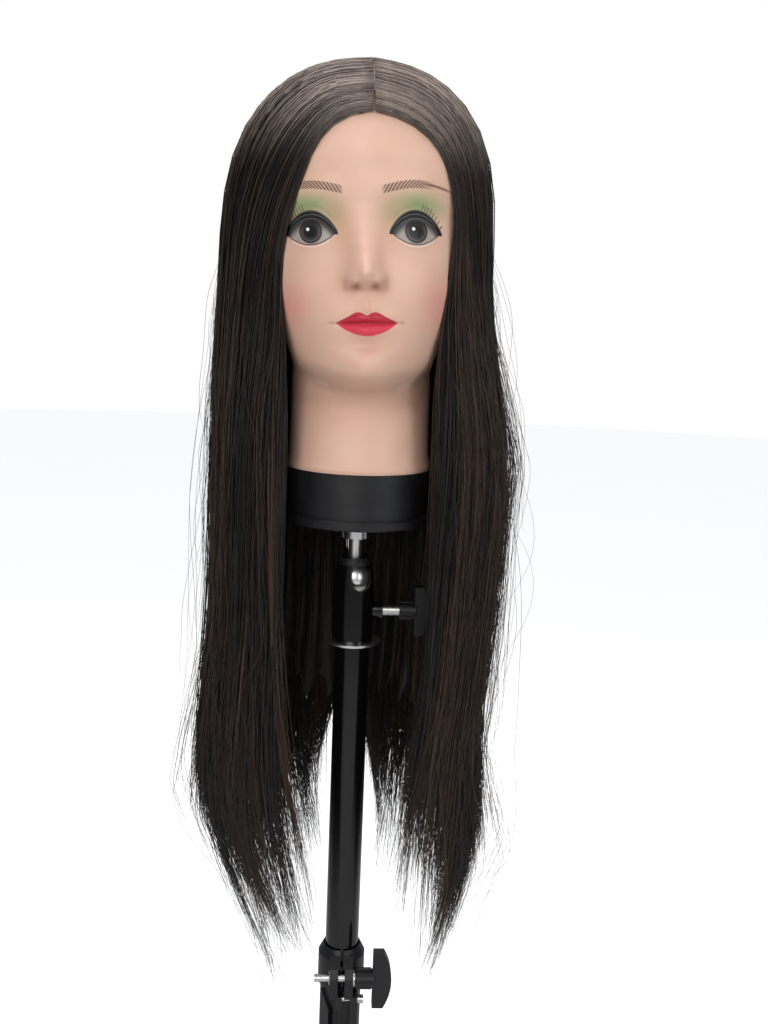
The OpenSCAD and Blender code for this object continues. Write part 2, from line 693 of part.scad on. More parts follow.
module brace_pins_1() { brace_pins(0); }
module brace_pins_2() { brace_pins(1); }
module brace_pins_3() { brace_pins(2); }

spider_top = spider_z + 9;
spider_h = 30;
lug_w = leg_w - 0.4;
spider_knob_z = spider_top - 8;
spider_screw_d = 6;
sleeve_r = outer_d / 2 + gap + 3.4;
boss_reach = 5;                  // how far the knob's boss stands out of the sleeve

module lower_spider() {
    slot_r = rivet_d / 2 + 0.6;
    color([0.08, 0.08, 0.08])
    difference() {
        union() {
            translate([0, 0, spider_top - spider_h]) cylinder(r = sleeve_r, h = spider_h);
            for (a = LEG_AT) rotate([0, 0, a]) translate([0, lug_w / 2, 0]) rotate([90, 0, 0])
                linear_extrude(lug_w)
                polygon([[sleeve_r - 1, spider_top], [spider_r + 2, spider_top],
                         [spider_r + 5.5, spider_top - 4], [spider_r + 5.5, spider_top - 22],
                         [spider_r + 2, spider_top - 26], [sleeve_r - 1, spider_top - 28]]);
            rotate([0, 0, knob_at]) translate([0, 0, spider_knob_z]) rotate([0, 90, 0])
                cylinder(d = 13, h = sleeve_r + boss_reach);
        }
        translate([0, 0, spider_top - spider_h - 1]) cylinder(r = outer_d / 2 + gap, h = spider_h + 2);
        for (a = LEG_AT) rotate([0, 0, a]) translate([spider_r, 0, 0]) rotate([90, 0, 0]) {
            translate([0, spider_z, 0]) cylinder(r = slot_r, h = 20, center = true);
            translate([0, spider_z - fold_slack, 0]) cylinder(r = slot_r, h = 20, center = true);
            translate([-slot_r, spider_z - fold_slack, -10]) cube([2 * slot_r, fold_slack, 20]);
        }
        rotate([0, 0, knob_at]) translate([0, 0, spider_knob_z]) rotate([0, 90, 0])
            cylinder(d = spider_screw_d + 0.2, h = 60);
    }
}

module spider_screw() {
    color("silver")
    rotate([0, 0, knob_at]) translate([outer_d / 2 + 0.4, 0, spider_knob_z]) rotate([0, 90, 0])
        cylinder(d = spider_screw_d, h = 24);
}

module spider_knob() {
    color([0.08, 0.08, 0.08])
    rotate([0, 0, knob_at])
        translate([sleeve_r + boss_reach + gap, 0, spider_knob_z])
            thumb_knob(12, 9, 11, 8, 32, spider_screw_d, 16);
}

head_shell();
wig_crown();
parting_strip();
hair_left();
hair_right();
hair_back();
mount_cap();
cap_insert();
stud_nut();
ball_stud();
ball_seat();
retaining_ring();
ball_housing();
ball_lock_screw();
ball_lock_knob();
top_washer();
mast_plug();
mast_tube();
mast_glide();
outer_tube();
tube_end_cap();
clamp_collar();
clamp_screw();
clamp_washer();
clamp_nut();
clamp_knob();
tripod_hub();
hub_screw();
leg_rivets();
lower_spider();
spider_screw();
spider_knob();
leg_1();
leg_2();
leg_3();
foot_1();
foot_2();
foot_3();
brace_1();
brace_2();
brace_3();
brace_pins_1();
brace_pins_2();
brace_pins_3();
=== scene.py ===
# %% [markdown]
# # A mannequin training head
# The object is a painted vinyl head with a long centre-parted wig. It stands on a cap, a locking
# ball head, a telescopic mast and a folding tripod. The metal and plastic parts come ready from
# the CAD frame and only need finishes. The head and the hair are modelled here.
# Everything stands in the frame's own axes: the mast is the Z axis and the face looks along -Y.
# Blender counts in metres. The head and the hair are measured in millimetres, so their sizes are
# multiplied by MM on the way in.

import json
import math

import bmesh
import bpy
import numpy as np
from mathutils import Matrix, Vector
from mathutils.bvhtree import BVHTree


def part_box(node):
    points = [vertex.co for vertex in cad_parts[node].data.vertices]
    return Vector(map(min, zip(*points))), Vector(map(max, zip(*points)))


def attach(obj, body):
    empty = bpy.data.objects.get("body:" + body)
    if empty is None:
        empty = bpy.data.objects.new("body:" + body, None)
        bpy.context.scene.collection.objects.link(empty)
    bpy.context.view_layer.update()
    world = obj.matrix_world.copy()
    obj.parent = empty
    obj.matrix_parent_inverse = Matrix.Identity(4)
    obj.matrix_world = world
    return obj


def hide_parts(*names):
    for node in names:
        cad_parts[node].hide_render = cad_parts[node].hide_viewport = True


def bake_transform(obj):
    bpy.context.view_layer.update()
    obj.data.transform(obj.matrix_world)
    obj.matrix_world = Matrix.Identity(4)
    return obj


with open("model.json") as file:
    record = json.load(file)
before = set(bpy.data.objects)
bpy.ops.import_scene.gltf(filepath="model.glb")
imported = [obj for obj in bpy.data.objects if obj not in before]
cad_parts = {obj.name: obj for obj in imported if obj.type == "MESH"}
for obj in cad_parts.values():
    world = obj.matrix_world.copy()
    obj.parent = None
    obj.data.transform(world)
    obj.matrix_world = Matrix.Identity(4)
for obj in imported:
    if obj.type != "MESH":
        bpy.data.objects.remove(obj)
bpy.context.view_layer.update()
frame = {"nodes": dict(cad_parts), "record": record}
MM = 0.001
draw = np.random.default_rng(7)

# %% [markdown]
# ## Camera
# The camera stands about level with the mouth, three quarters of a metre in front of the mast, and
# looks down by ten degrees with a slight lean. Its three axes are worked out from those angles
# and put straight into its matrix, which is surer than chained rotations. A 38.7 mm lens on a
# 36 mm sensor takes in the head, the hair and the top of the tripod.

# %% Camera
VIEWPOINT = Vector((-18.7, -768.0, 917.6)) * MM
YAW, DOWN, LEAN = (math.radians(a) for a in (2.84, 10.26, 2.24))
LENS_MM, SENSOR_MM = 38.67, 36

ahead = Vector((math.sin(YAW) * math.cos(DOWN), math.cos(YAW) * math.cos(DOWN), -math.sin(DOWN)))
level = Vector((math.cos(YAW), -math.sin(YAW), 0))
upward = level.cross(ahead)
right = level * math.cos(LEAN) + upward * math.sin(LEAN)
top = upward * math.cos(LEAN) - level * math.sin(LEAN)

camera = bpy.data.objects.new("camera", bpy.data.cameras.new("camera"))
bpy.context.scene.collection.objects.link(camera)
turn = Matrix((right, top, -ahead)).transposed().to_4x4()
camera.matrix_world = Matrix.Translation(VIEWPOINT) @ turn
camera.data.lens = LENS_MM
camera.data.sensor_width = SENSOR_MM
camera.data.dof.use_dof = False
bpy.context.scene.camera = camera
print("camera at", [round(c, 3) for c in VIEWPOINT])

# %% [markdown]
# ## Floor and light
# A studio picture wants a plain pale ground and broad, soft light. Four area lamps stand in for
# soft boxes: a key from the upper left, a fill from the right, one overhead for the sheen on the
# crown and one behind that rims the hair. The world adds an even, dimmer light of its own, so
# that gloss black parts keep dark reflections, while the camera sees plain white behind the
# object. The floor gets a glow that only the camera sees, along with the other finishes below.

# %% Floor, lamps and world
def new_mesh_object(name, mesh):
    made = bpy.data.objects.new(name, mesh)
    bpy.context.scene.collection.objects.link(made)
    return made


def lamp(name, place, target, size, watts, colour):
    data = bpy.data.lights.new(name, "AREA")
    data.shape, data.size, data.size_y = "RECTANGLE", size[0], size[1]
    data.energy, data.color = watts, colour
    made = new_mesh_object(name, data)
    made.location = place
    made.rotation_euler = (Vector(target) - Vector(place)).to_track_quat("-Z", "Y").to_euler()
    return made


FACE = (0, -0.05, 0.93)
WORLD_LIGHT = 0.26
FLOOR_RADIUS = 9
lamp("key_lamp", (-0.5, -1.9, 1.5), FACE, (1.2, 1.3), 21, (1.0, 0.985, 0.97))
lamp("fill_lamp", (1.4, -1.5, 1.2), FACE, (0.7, 1.3), 8, (0.97, 0.985, 1.0))
lamp("top_lamp", (0.05, -0.2, 2.1), (0, 0.02, 1.0), (1.3, 0.5), 7, (1.0, 0.99, 0.98))
lamp("back_lamp", (0.5, 1.7, 1.5), (0, 0, 0.8), (1.2, 1.2), 9, (1.0, 1.0, 1.0))

world = bpy.data.worlds.new("studio")
world.use_nodes = True
bpy.context.scene.world = world
sky = world.node_tree
sky.nodes.clear()
seen, felt = (sky.nodes.new("ShaderNodeBackground") for _ in range(2))
seen.inputs["Color"].default_value = (1, 1, 1, 1)
felt.inputs["Color"].default_value = (0.93, 0.96, 1.0, 1)
felt.inputs["Strength"].default_value = WORLD_LIGHT
ray = sky.nodes.new("ShaderNodeLightPath")
either = sky.nodes.new("ShaderNodeMixShader")
sky.links.new(ray.outputs["Is Camera Ray"], either.inputs["Fac"])
sky.links.new(felt.outputs[0], either.inputs[1])
sky.links.new(seen.outputs[0], either.inputs[2])
sky.links.new(either.outputs[0], sky.nodes.new("ShaderNodeOutputWorld").inputs["Surface"])
bpy.context.scene.view_settings.view_transform = "Standard"

ground = bmesh.new()
bmesh.ops.create_circle(ground, cap_ends=True, segments=96, radius=FLOOR_RADIUS)
ground_mesh = bpy.data.meshes.new("floor")
ground.to_mesh(ground_mesh)
ground.free()
floor = new_mesh_object("floor", ground_mesh)
print("4 lamps over a floor", round(floor.dimensions.x, 1), "m across")

# %% [markdown]
# ## A way to write finishes as formulas
# A finish is a small network of shader nodes. Placing each node by hand hides the idea, so a
# `Field` wraps one socket and lets ordinary arithmetic add the Math nodes. The paint on the face
# then reads as what it is: arcs, circles, strokes and soft patches at places in millimetres.

# %% Shader helpers
class Field:
    """A number that a shader works out at every point of a surface."""

    def __init__(self, tree, socket):
        self.tree, self.socket = tree, socket

    def apply(self, operation, *others):
        node = self.tree.nodes.new("ShaderNodeMath")
        node.operation = operation
        for slot, value in zip(node.inputs, (self, *others)):
            if isinstance(value, Field):
                self.tree.links.new(value.socket, slot)
            else:
                slot.default_value = value
        return Field(self.tree, node.outputs[0])

    def __add__(self, other):
        return self.apply("ADD", other)

    def __sub__(self, other):
        return self.apply("SUBTRACT", other)

    def __mul__(self, other):
        return self.apply("MULTIPLY", other)

    def __truediv__(self, other):
        return self.apply("DIVIDE", other)

    def __neg__(self):
        return self.apply("MULTIPLY", -1.0)

    def power(self, exponent):
        return self.apply("MAXIMUM", 0.0).apply("POWER", exponent)

    def near(self, centre, spread):
        """1 at centre, falling softly to nothing within about two spreads."""
        away = (self - centre) / spread
        return (-(away * away)).apply("EXPONENT")

    def above(self, low, high):
        """0 below low, 1 above high, and smooth between them."""
        node = self.tree.nodes.new("ShaderNodeMapRange")
        node.interpolation_type = "SMOOTHSTEP"
        self.tree.links.new(self.socket, node.inputs["Value"])
        node.inputs["From Min"].default_value = low
        node.inputs["From Max"].default_value = high
        return Field(self.tree, node.outputs[0])


def srgb(red, green, blue):
    """A screen colour of 0 to 255 as the linear colour that shaders use."""
    return tuple(((c / 255 + 0.055) / 1.055) ** 2.4 if c > 10 else c / 3295
                 for c in (red, green, blue)) + (1.0,)


class Finish:
    """A material with one Principled shader and short ways to colour, roughen and bump it."""

    def __init__(self, name, colour, roughness, metallic=0.0, **sockets):
        self.material = bpy.data.materials.new(name)
        self.material.use_nodes = True
        self.tree = self.material.node_tree
        self.shader = self.tree.nodes["Principled BSDF"]
        self.shader.inputs["Base Color"].default_value = colour
        self.shader.inputs["Roughness"].default_value = roughness
        self.shader.inputs["Metallic"].default_value = metallic
        for socket, value in sockets.items():
            self.shader.inputs[socket.replace("_", " ")].default_value = value
        self.place = self.tree.nodes.new("ShaderNodeTexCoord").outputs["Object"]
        self.colour = colour
        self.material.diffuse_color = colour

    def field(self, socket):
        return Field(self.tree, socket)

    def axis(self, index):
        """The point's place along X, Y or Z in millimetres."""
        split = self.tree.nodes.new("ShaderNodeSeparateXYZ")
        self.tree.links.new(self.place, split.inputs[0])
        return self.field(split.outputs[index]) * (1 / MM)

    def attribute(self, name):
        node = self.tree.nodes.new("ShaderNodeAttribute")
        node.attribute_name = name
        return self.field(node.outputs["Fac"])

    def noise(self, grain_mm, detail=3.0, stretch=(1, 1, 1)):
        """Cloudy noise with lumps of about grain_mm, drawn out along an axis by stretch."""
        mapping = self.tree.nodes.new("ShaderNodeMapping")
        mapping.inputs["Scale"].default_value = [1 / s for s in stretch]
        node = self.tree.nodes.new("ShaderNodeTexNoise")
        node.inputs["Scale"].default_value = 1 / (grain_mm * MM)
        node.inputs["Detail"].default_value = detail
        self.tree.links.new(self.place, mapping.inputs["Vector"])
        self.tree.links.new(mapping.outputs[0], node.inputs["Vector"])
        return self.field(node.outputs[0])

    def paint(self, colour, mask):
        """Lays a colour over what is there, as thickly as mask says."""
        node = self.tree.nodes.new("ShaderNodeMix")
        node.data_type = "RGBA"
        factor, under, over = node.inputs[0], node.inputs[6], node.inputs[7]
        if isinstance(self.colour, tuple):
            under.default_value = self.colour
        else:
            self.tree.links.new(self.colour, under)
        over.default_value = colour
        self.tree.links.new(mask.socket, factor)
        self.colour = node.outputs[2]
        self.tree.links.new(self.colour, self.shader.inputs["Base Color"])

    def roughen(self, amount):
        self.tree.links.new(amount.socket, self.shader.inputs["Roughness"])

    def bump(self, height, depth_mm):
        node = self.tree.nodes.new("ShaderNodeBump")
        node.inputs["Distance"].default_value = depth_mm * MM
        self.tree.links.new(height.socket, node.inputs["Height"])
        self.tree.links.new(node.outputs[0], self.shader.inputs["Normal"])
        return node

    def soften_edges(self, radius_mm):
        """Rounds hard corners for the light, as a moulding or a coat of paint does."""
        node = self.tree.nodes.new("ShaderNodeBevel")
        node.inputs["Radius"].default_value = radius_mm * MM
        for link in self.shader.inputs["Normal"].links:
            self.tree.links.new(node.outputs[0], link.from_node.inputs["Normal"])
            return
        self.tree.links.new(node.outputs[0], self.shader.inputs["Normal"])


print("Field and Finish are ready")

# %% [markdown]
# ## Finishes of the stand
# Moulded black plastic is satin with a fine spark-eroded grain. The mast's enamel is glossy and
# deep, so its roughness varies only a little, with faint rub marks drawn out along the tube where
# it slides. Chrome is bright with hardly any haze, and zinc plate is duller and cloudy. Each
# pattern is set in millimetres, so it has the right scale on a 4 mm pin and on a 590 mm tube.

# %% Finishes of the stand
def black_plastic():
    made = Finish("black_plastic", srgb(19, 19, 22), 0.42, Specular_IOR_Level=0.4)
    grain, patches = made.noise(0.35, 2), made.noise(14, 3)
    made.paint(srgb(38, 38, 42), patches.above(0.45, 0.8) * 0.35)
    made.roughen(patches * 0.16 + 0.36)
    made.bump(grain, 0.05)
    made.soften_edges(0.5)
    return made.material


def gloss_black_metal():
    made = Finish("gloss_black_metal", srgb(9, 9, 11), 0.14, Specular_IOR_Level=0.32,
                  Coat_Weight=0.2, Coat_Roughness=0.05)
    rubs, peel = made.noise(1.2, 4, (1, 1, 60)), made.noise(2.5, 2)
    made.paint(srgb(40, 40, 43), rubs.above(0.62, 0.78) * 0.25)
    made.roughen(rubs * 0.12 + 0.1)
    made.bump(peel, 0.02)
    made.soften_edges(0.3)
    return made.material


def painted_steel():
    made = Finish("painted_steel", srgb(20, 20, 21), 0.34)
    peel, wear = made.noise(0.8, 3), made.noise(7, 5)
    made.paint(srgb(70, 70, 70), wear.above(0.66, 0.72) * 0.4)
    made.roughen(wear * 0.2 + 0.24)
    made.bump(peel, 0.04)
    made.soften_edges(0.35)
    return made.material


def chrome():
    made = Finish("chrome", (0.86, 0.85, 0.84, 1), 0.3, 1.0)
    haze = made.noise(3, 4)
    made.paint((0.70, 0.70, 0.71, 1), haze.above(0.5, 0.8) * 0.5)
    made.roughen(haze * 0.14 + 0.25)
    made.soften_edges(0.3)
    return made.material


def zinc_steel():
    made = Finish("zinc_steel", (0.62, 0.62, 0.60, 1), 0.3, 1.0)
    clouds, thread = made.noise(2, 5), made.noise(0.5, 2)
    made.paint((0.42, 0.41, 0.38, 1), clouds.above(0.48, 0.75) * 0.6)
    made.roughen(clouds * 0.3 + 0.18)
    made.bump(thread, 0.05)
    made.soften_edges(0.25)
    return made.material


def nylon():
    made = Finish("nylon", srgb(226, 226, 220), 0.45, Subsurface_Weight=0.1)
    made.bump(made.noise(0.6, 2), 0.04)
    made.paint(srgb(206, 204, 192), made.noise(5, 3).above(0.5, 0.8) * 0.4)
    return made.material


def foot_rubber():
    made = Finish("foot_rubber", srgb(30, 30, 30), 0.72)
    dust = made.noise(4, 5)
    made.paint(srgb(74, 72, 68), dust.above(0.5, 0.75) * 0.45)
    made.roughen(dust * 0.25 + 0.6)
    made.bump(made.noise(0.5, 3), 0.08)
    made.soften_edges(0.6)
    return made.material


def wig_lace():
    made = Finish("wig_lace", srgb(214, 206, 198), 0.8, Sheen_Weight=0.3)
    across, along = made.axis(0), made.axis(1)
    weave = (across * 7.0).apply("SINE") * (along * 3.5).apply("SINE")
    made.paint(srgb(170, 160, 150), weave.above(0.3, 0.9) * 0.7)
    made.bump(weave, 0.25)
    return made.material


FINISHES = {make.__name__: make() for make in (
    black_plastic, gloss_black_metal, painted_steel, chrome, zinc_steel, nylon, foot_rubber,
    wig_lace)}

for part in frame["record"]["subparts"]:
    finish = FINISHES.get(part["material_slot"])
    if finish:
        mesh = frame["nodes"][part["node"]].data
        mesh.materials.clear()
        mesh.materials.append(finish)

FLOOR_GLOW = 0.72
studio = Finish("studio_floor", (0.93, 0.93, 0.93, 1), 0.7)
studio.paint((0.90, 0.90, 0.90, 1), studio.noise(400, 2).above(0.4, 0.7) * 0.5)
studio.shader.inputs["Emission Color"].default_value = (1, 1, 1, 1)
in_view = studio.tree.nodes.new("ShaderNodeLightPath").outputs["Is Camera Ray"]
glow = studio.field(in_view) * FLOOR_GLOW
studio.tree.links.new(glow.socket, studio.shader.inputs["Emission Strength"])
floor.data.materials.append(studio.material)
print(len(FINISHES), "finishes on the stand")

# %% [markdown]
# ## The form of the head
# The head is a thin vinyl shell, cast in one piece from the neck's hem to the crown. Its form is
# given by three smooth outlines, for the front, the back and the half width, as shares of the
# depth and width at each share of the height. The face is then raised and sunk on that form by
# soft bumps: a nose ridge, wings, lips, chin, sockets, eyeballs and lids, in millimetres.

# %% Outlines and face
low, high = (np.array(c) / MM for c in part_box("head_shell"))
HEM_Z, HEAD_H = low[2], high[2] - low[2]
HEAD_W, HEAD_DEPTH = 152.0, 180.0
HEM_R = 51.0
JAW_RISE = 0.05
FRONT = [(0, -0.283), (0.03, -0.272), (0.09, -0.262), (0.17, -0.268), (0.205, -0.30),
         (0.228, -0.43), (0.25, -0.492), (0.30, -0.508), (0.37, -0.522), (0.45, -0.525),
         (0.55, -0.515), (0.64, -0.518), (0.75, -0.520), (0.84, -0.485), (0.91, -0.40),
         (0.96, -0.28), (0.99, -0.14), (1, -0.01)]
BACK = [(0, 0.283), (0.03, 0.272), (0.10, 0.266), (0.20, 0.275), (0.30, 0.315), (0.40, 0.385),
        (0.50, 0.445), (0.60, 0.478), (0.70, 0.485), (0.80, 0.455), (0.88, 0.38),
        (0.94, 0.28), (0.98, 0.16), (1, -0.01)]
HALF = [(0, 0.335), (0.03, 0.322), (0.09, 0.318), (0.17, 0.316), (0.215, 0.312),
        (0.25, 0.322), (0.30, 0.346), (0.37, 0.385), (0.45, 0.425), (0.55, 0.470), (0.65, 0.497),
        (0.72, 0.5), (0.80, 0.475), (0.88, 0.395), (0.94, 0.29), (0.98, 0.17), (1, 0)]


def smooth_table(table, spread=0.012, steps=1000, reach=40, crown_share=0.03):
    """A smooth curve through a table: read it finely, then average each reading's neighbours.
    Over the last share, at the crown, it goes back to the table."""
    fine = np.linspace(0, 1, steps + 1)
    read = np.interp(fine, *zip(*table))
    weights = np.exp(-(np.arange(-reach, reach + 1) / steps / spread) ** 2)
    before = 2 * read[0] - read[reach:0:-1]
    after = 2 * read[-1] - read[-2:-reach - 2:-1]
    padded = np.concatenate([before, read, after])
    soft = np.convolve(padded, weights / weights.sum(), "valid")
    keep = np.clip((1 - fine) / crown_share, 0, 1)
    return fine, soft * keep + read * (1 - keep)


front_of, back_of, half_of = (smooth_table(t) for t in (FRONT, BACK, HALF))


def near(x, centre, spread):
    return np.exp(-((x - centre) / spread) ** 2)


def step(x, low, high):
    s = np.clip((x - low) / (high - low), 0, 1)
    return s * s * (3 - 2 * s)


EYE_X, EYE_Z = 32.0, 966.0
EYE_HALF, CORNER_DROP = 14.2, 2.4
LID_UP, LID_DOWN, LINER_UP = 10.0, 5.9, 14.6
MOUTH_Z, MOUTH_HALF = 911.0, 19.4
FACE_ASKEW, FACE_TILT = 0.07, 0.038
NOSE_Z = [926, 930, 932.5, 936, 940, 944, 952, 962, 972, 982]
NOSE_OUT = [0, 1.0, 6.0, 13.5, 16.6, 15.0, 9.8, 5.2, 2.0, 0.3]


def face_relief(x, z):
    """How far the face stands out beyond the plain form, in millimetres."""
    x, z = x + (z - MOUTH_Z) * FACE_ASKEW, z - x * FACE_TILT
    a = np.abs(x)
    ridge = np.interp(z, NOSE_Z, NOSE_OUT)
    width = 9.0 + 0.6 * near(z, 938, 8)
    nose = (ridge * near(x, 0, width) + 5.2 * near(a, 8.2, 3.6) * near(z, 935.5, 4.6)
            + 2.5 * near(x, 0, 6.5) * near(z, 940.5, 5.5))
    nostrils = -3.2 * near(a, 5.7, 2.3) * near(z, 932.4, 1.9)
    lips = (4.6 * near(z, 914.6, 3.6) * near(x, 0, 13) + 5.2 * near(z, 906.6, 3.8) * near(x, 0, 12)
            - 2.6 * near(z, MOUTH_Z - 0.2, 1.1) * (1 - step(a, 14, 21)))
    philtrum = -1.1 * near(x, 0, 2.4) * near(z, 922.5, 4.5) + 0.7 * near(a, 4, 2) * near(z, 922, 5)
    chin = 7.0 * near(z, 885, 10) * near(x, 0, 19) - 2.2 * near(z, 897.5, 4) * near(x, 0, 14)
    cheeks = 3.4 * near(a, 38, 15) * near(z, 931, 17)
    u = a - EYE_X
    arch = np.clip(1 - (u / (EYE_HALF + 0.6)) ** 2, 0, 1)
    lid = EYE_Z - CORNER_DROP + LID_UP * arch ** 0.75
    under = EYE_Z - CORNER_DROP - LID_DOWN * arch
    socket = -7.0 * near(u, -1, 18) * near(z, 969, 12.5)
    ball = 6.4 * near(u, 0, 13.5) * near(z, EYE_Z, 9.5)
    lids = (1.0 * near(z, lid + 1.8, 1.6) + 0.7 * near(z, under - 0.9, 0.9)) * step(arch, 0, 0.25)
    fold = -1.1 * near(z, lid + 6.0, 1.3) * step(arch, 0.1, 0.5)
    brow = 2.4 * near(z, 990, 7) * near(a, 29, 17)
    temple = -1.5 * near(a, 60, 10) * near(z, 975, 16)
    return (nose + nostrils + lips + philtrum + chin + cheeks + socket + ball + lids + fold + brow
            + temple)


def joined(x, y, z):
    """Points from their three coordinates, which may be numbers, rows or whole grids."""
    return np.stack(np.broadcast_arrays(x, y, z), -1)


def head_point(t, angle, grow=0.0):
    """Points of the head at height shares t and angles from the front, in millimetres."""
    jaw = t - JAW_RISE * np.sin(angle) ** 2 * near(t, 0.25, 0.1)
    front, back, half = np.interp(jaw, *front_of), np.interp(t, *back_of), np.interp(jaw, *half_of)
    front, back, half = front * HEAD_DEPTH, back * HEAD_DEPTH, half * HEAD_W
    flare = 1 + (HEM_R / (0.335 * HEAD_W) - 1) * near(t, 0, 0.12) + 0.012 * (1 - step(t, 0, 0.012))
    middle, deep = (front + back) / 2, (back - front) / 2 * flare
    narrow = np.where(t > 0.17, 1 - 0.22 * np.clip(np.cos(angle), 0, 1) ** 2 * near(t, 0.25, 0.12), 1)
    x = np.sin(angle) * (half * flare + grow) * narrow
    z = HEM_Z + t * HEAD_H
    relief = np.where(np.cos(angle) > 0, face_relief(x, z) * step(np.cos(angle), 0, 0.25), 0)
    y = middle - np.cos(angle) * (deep + grow) - relief
    return joined(x, y, z + grow * np.clip(t - 0.8, 0, 1) * 5)


print("nose tip stands", round(float(face_relief(0, 940)), 1), "mm proud of the form")

# %% [markdown]
# ## The vinyl shell
# One way would be to sculpt from a sphere, but its poles land on the face. A flat grid rolled
# round the head keeps rows level and columns upright, so the rows can crowd together where the
# eyes and the mouth need them. The rows start at a point under the crown and run down the inside
# to the hem, where they turn round the lip and run up the outside to the crown. Merging doubles
# then closes the seam and the two points.

# %% Build the vinyl shell
def rolled(name, points, material, weld_mm=0.005, solid_mm=0.0):
    """A mesh from a grid operator, whose corners are moved to rows x columns of points."""
    rows, columns = points.shape[:2]
    sheet = bmesh.new()
    bmesh.ops.create_grid(sheet, x_segments=columns - 1, y_segments=rows - 1, size=1)
    mesh = bpy.data.meshes.new(name)
    sheet.to_mesh(mesh)
    mesh.vertices.foreach_set("co", (points.reshape(-1, 3) * MM).astype(np.float32).ravel())
    sheet.clear()
    sheet.from_mesh(mesh)
    bmesh.ops.remove_doubles(sheet, verts=sheet.verts, dist=weld_mm * MM)
    bmesh.ops.dissolve_degenerate(sheet, edges=sheet.edges, dist=1e-7)
    bmesh.ops.recalc_face_normals(sheet, faces=sheet.faces)
    if solid_mm:
        bmesh.ops.solidify(sheet, geom=sheet.faces, thickness=solid_mm * MM)
        bmesh.ops.recalc_face_normals(sheet, faces=sheet.faces)
    for face in sheet.faces:
        face.smooth = True
    sheet.to_mesh(mesh)
    sheet.free()
    mesh.materials.append(material)
    return new_mesh_object(name, mesh)


SKIN_T = 3.5
SPIGOT_R = 44.05
COLUMNS = 260
FACE_CROWDING = 0.58
LIP_FLARE = 1.03
NECK_RINGS = (36, 18, 1.2)
turns = np.linspace(-math.pi, math.pi, COLUMNS + 1)
angles = turns - FACE_CROWDING * np.sin(turns)
heights = np.concatenate([np.linspace(0, 0.2, 16)[:-1], np.linspace(0.2, 0.74, 165)[:-1],
                          np.linspace(0.74, 1, 34)])
outside = head_point(heights[:, None], angles[None, :])
inner_heights = np.linspace(0.965, 0.2, 14)
inside = head_point(inner_heights[:, None], angles[None, :], -SKIN_T)
# The inside stays plain behind the face.
relief = face_relief(inside[..., 0], inside[..., 2]) * step(np.cos(angles)[None, :], 0, 0.25)
inside[..., 1] += np.where(np.cos(angles)[None, :] > 0, relief, 0)
pole = np.broadcast_to(inside[0].mean(0), inside[0].shape)
ring = np.stack([SPIGOT_R * np.sin(angles), -SPIGOT_R * np.cos(angles), 0 * angles], -1)
neck = np.stack([ring + (0, 0, HEM_Z + h) for h in NECK_RINGS])
lip = np.stack([ring * (LIP_FLARE, LIP_FLARE, 0) + (0, 0, HEM_Z)])
shell = np.concatenate([pole[None], inside, neck, lip, outside])
print("shell grid", shell.shape[:2])
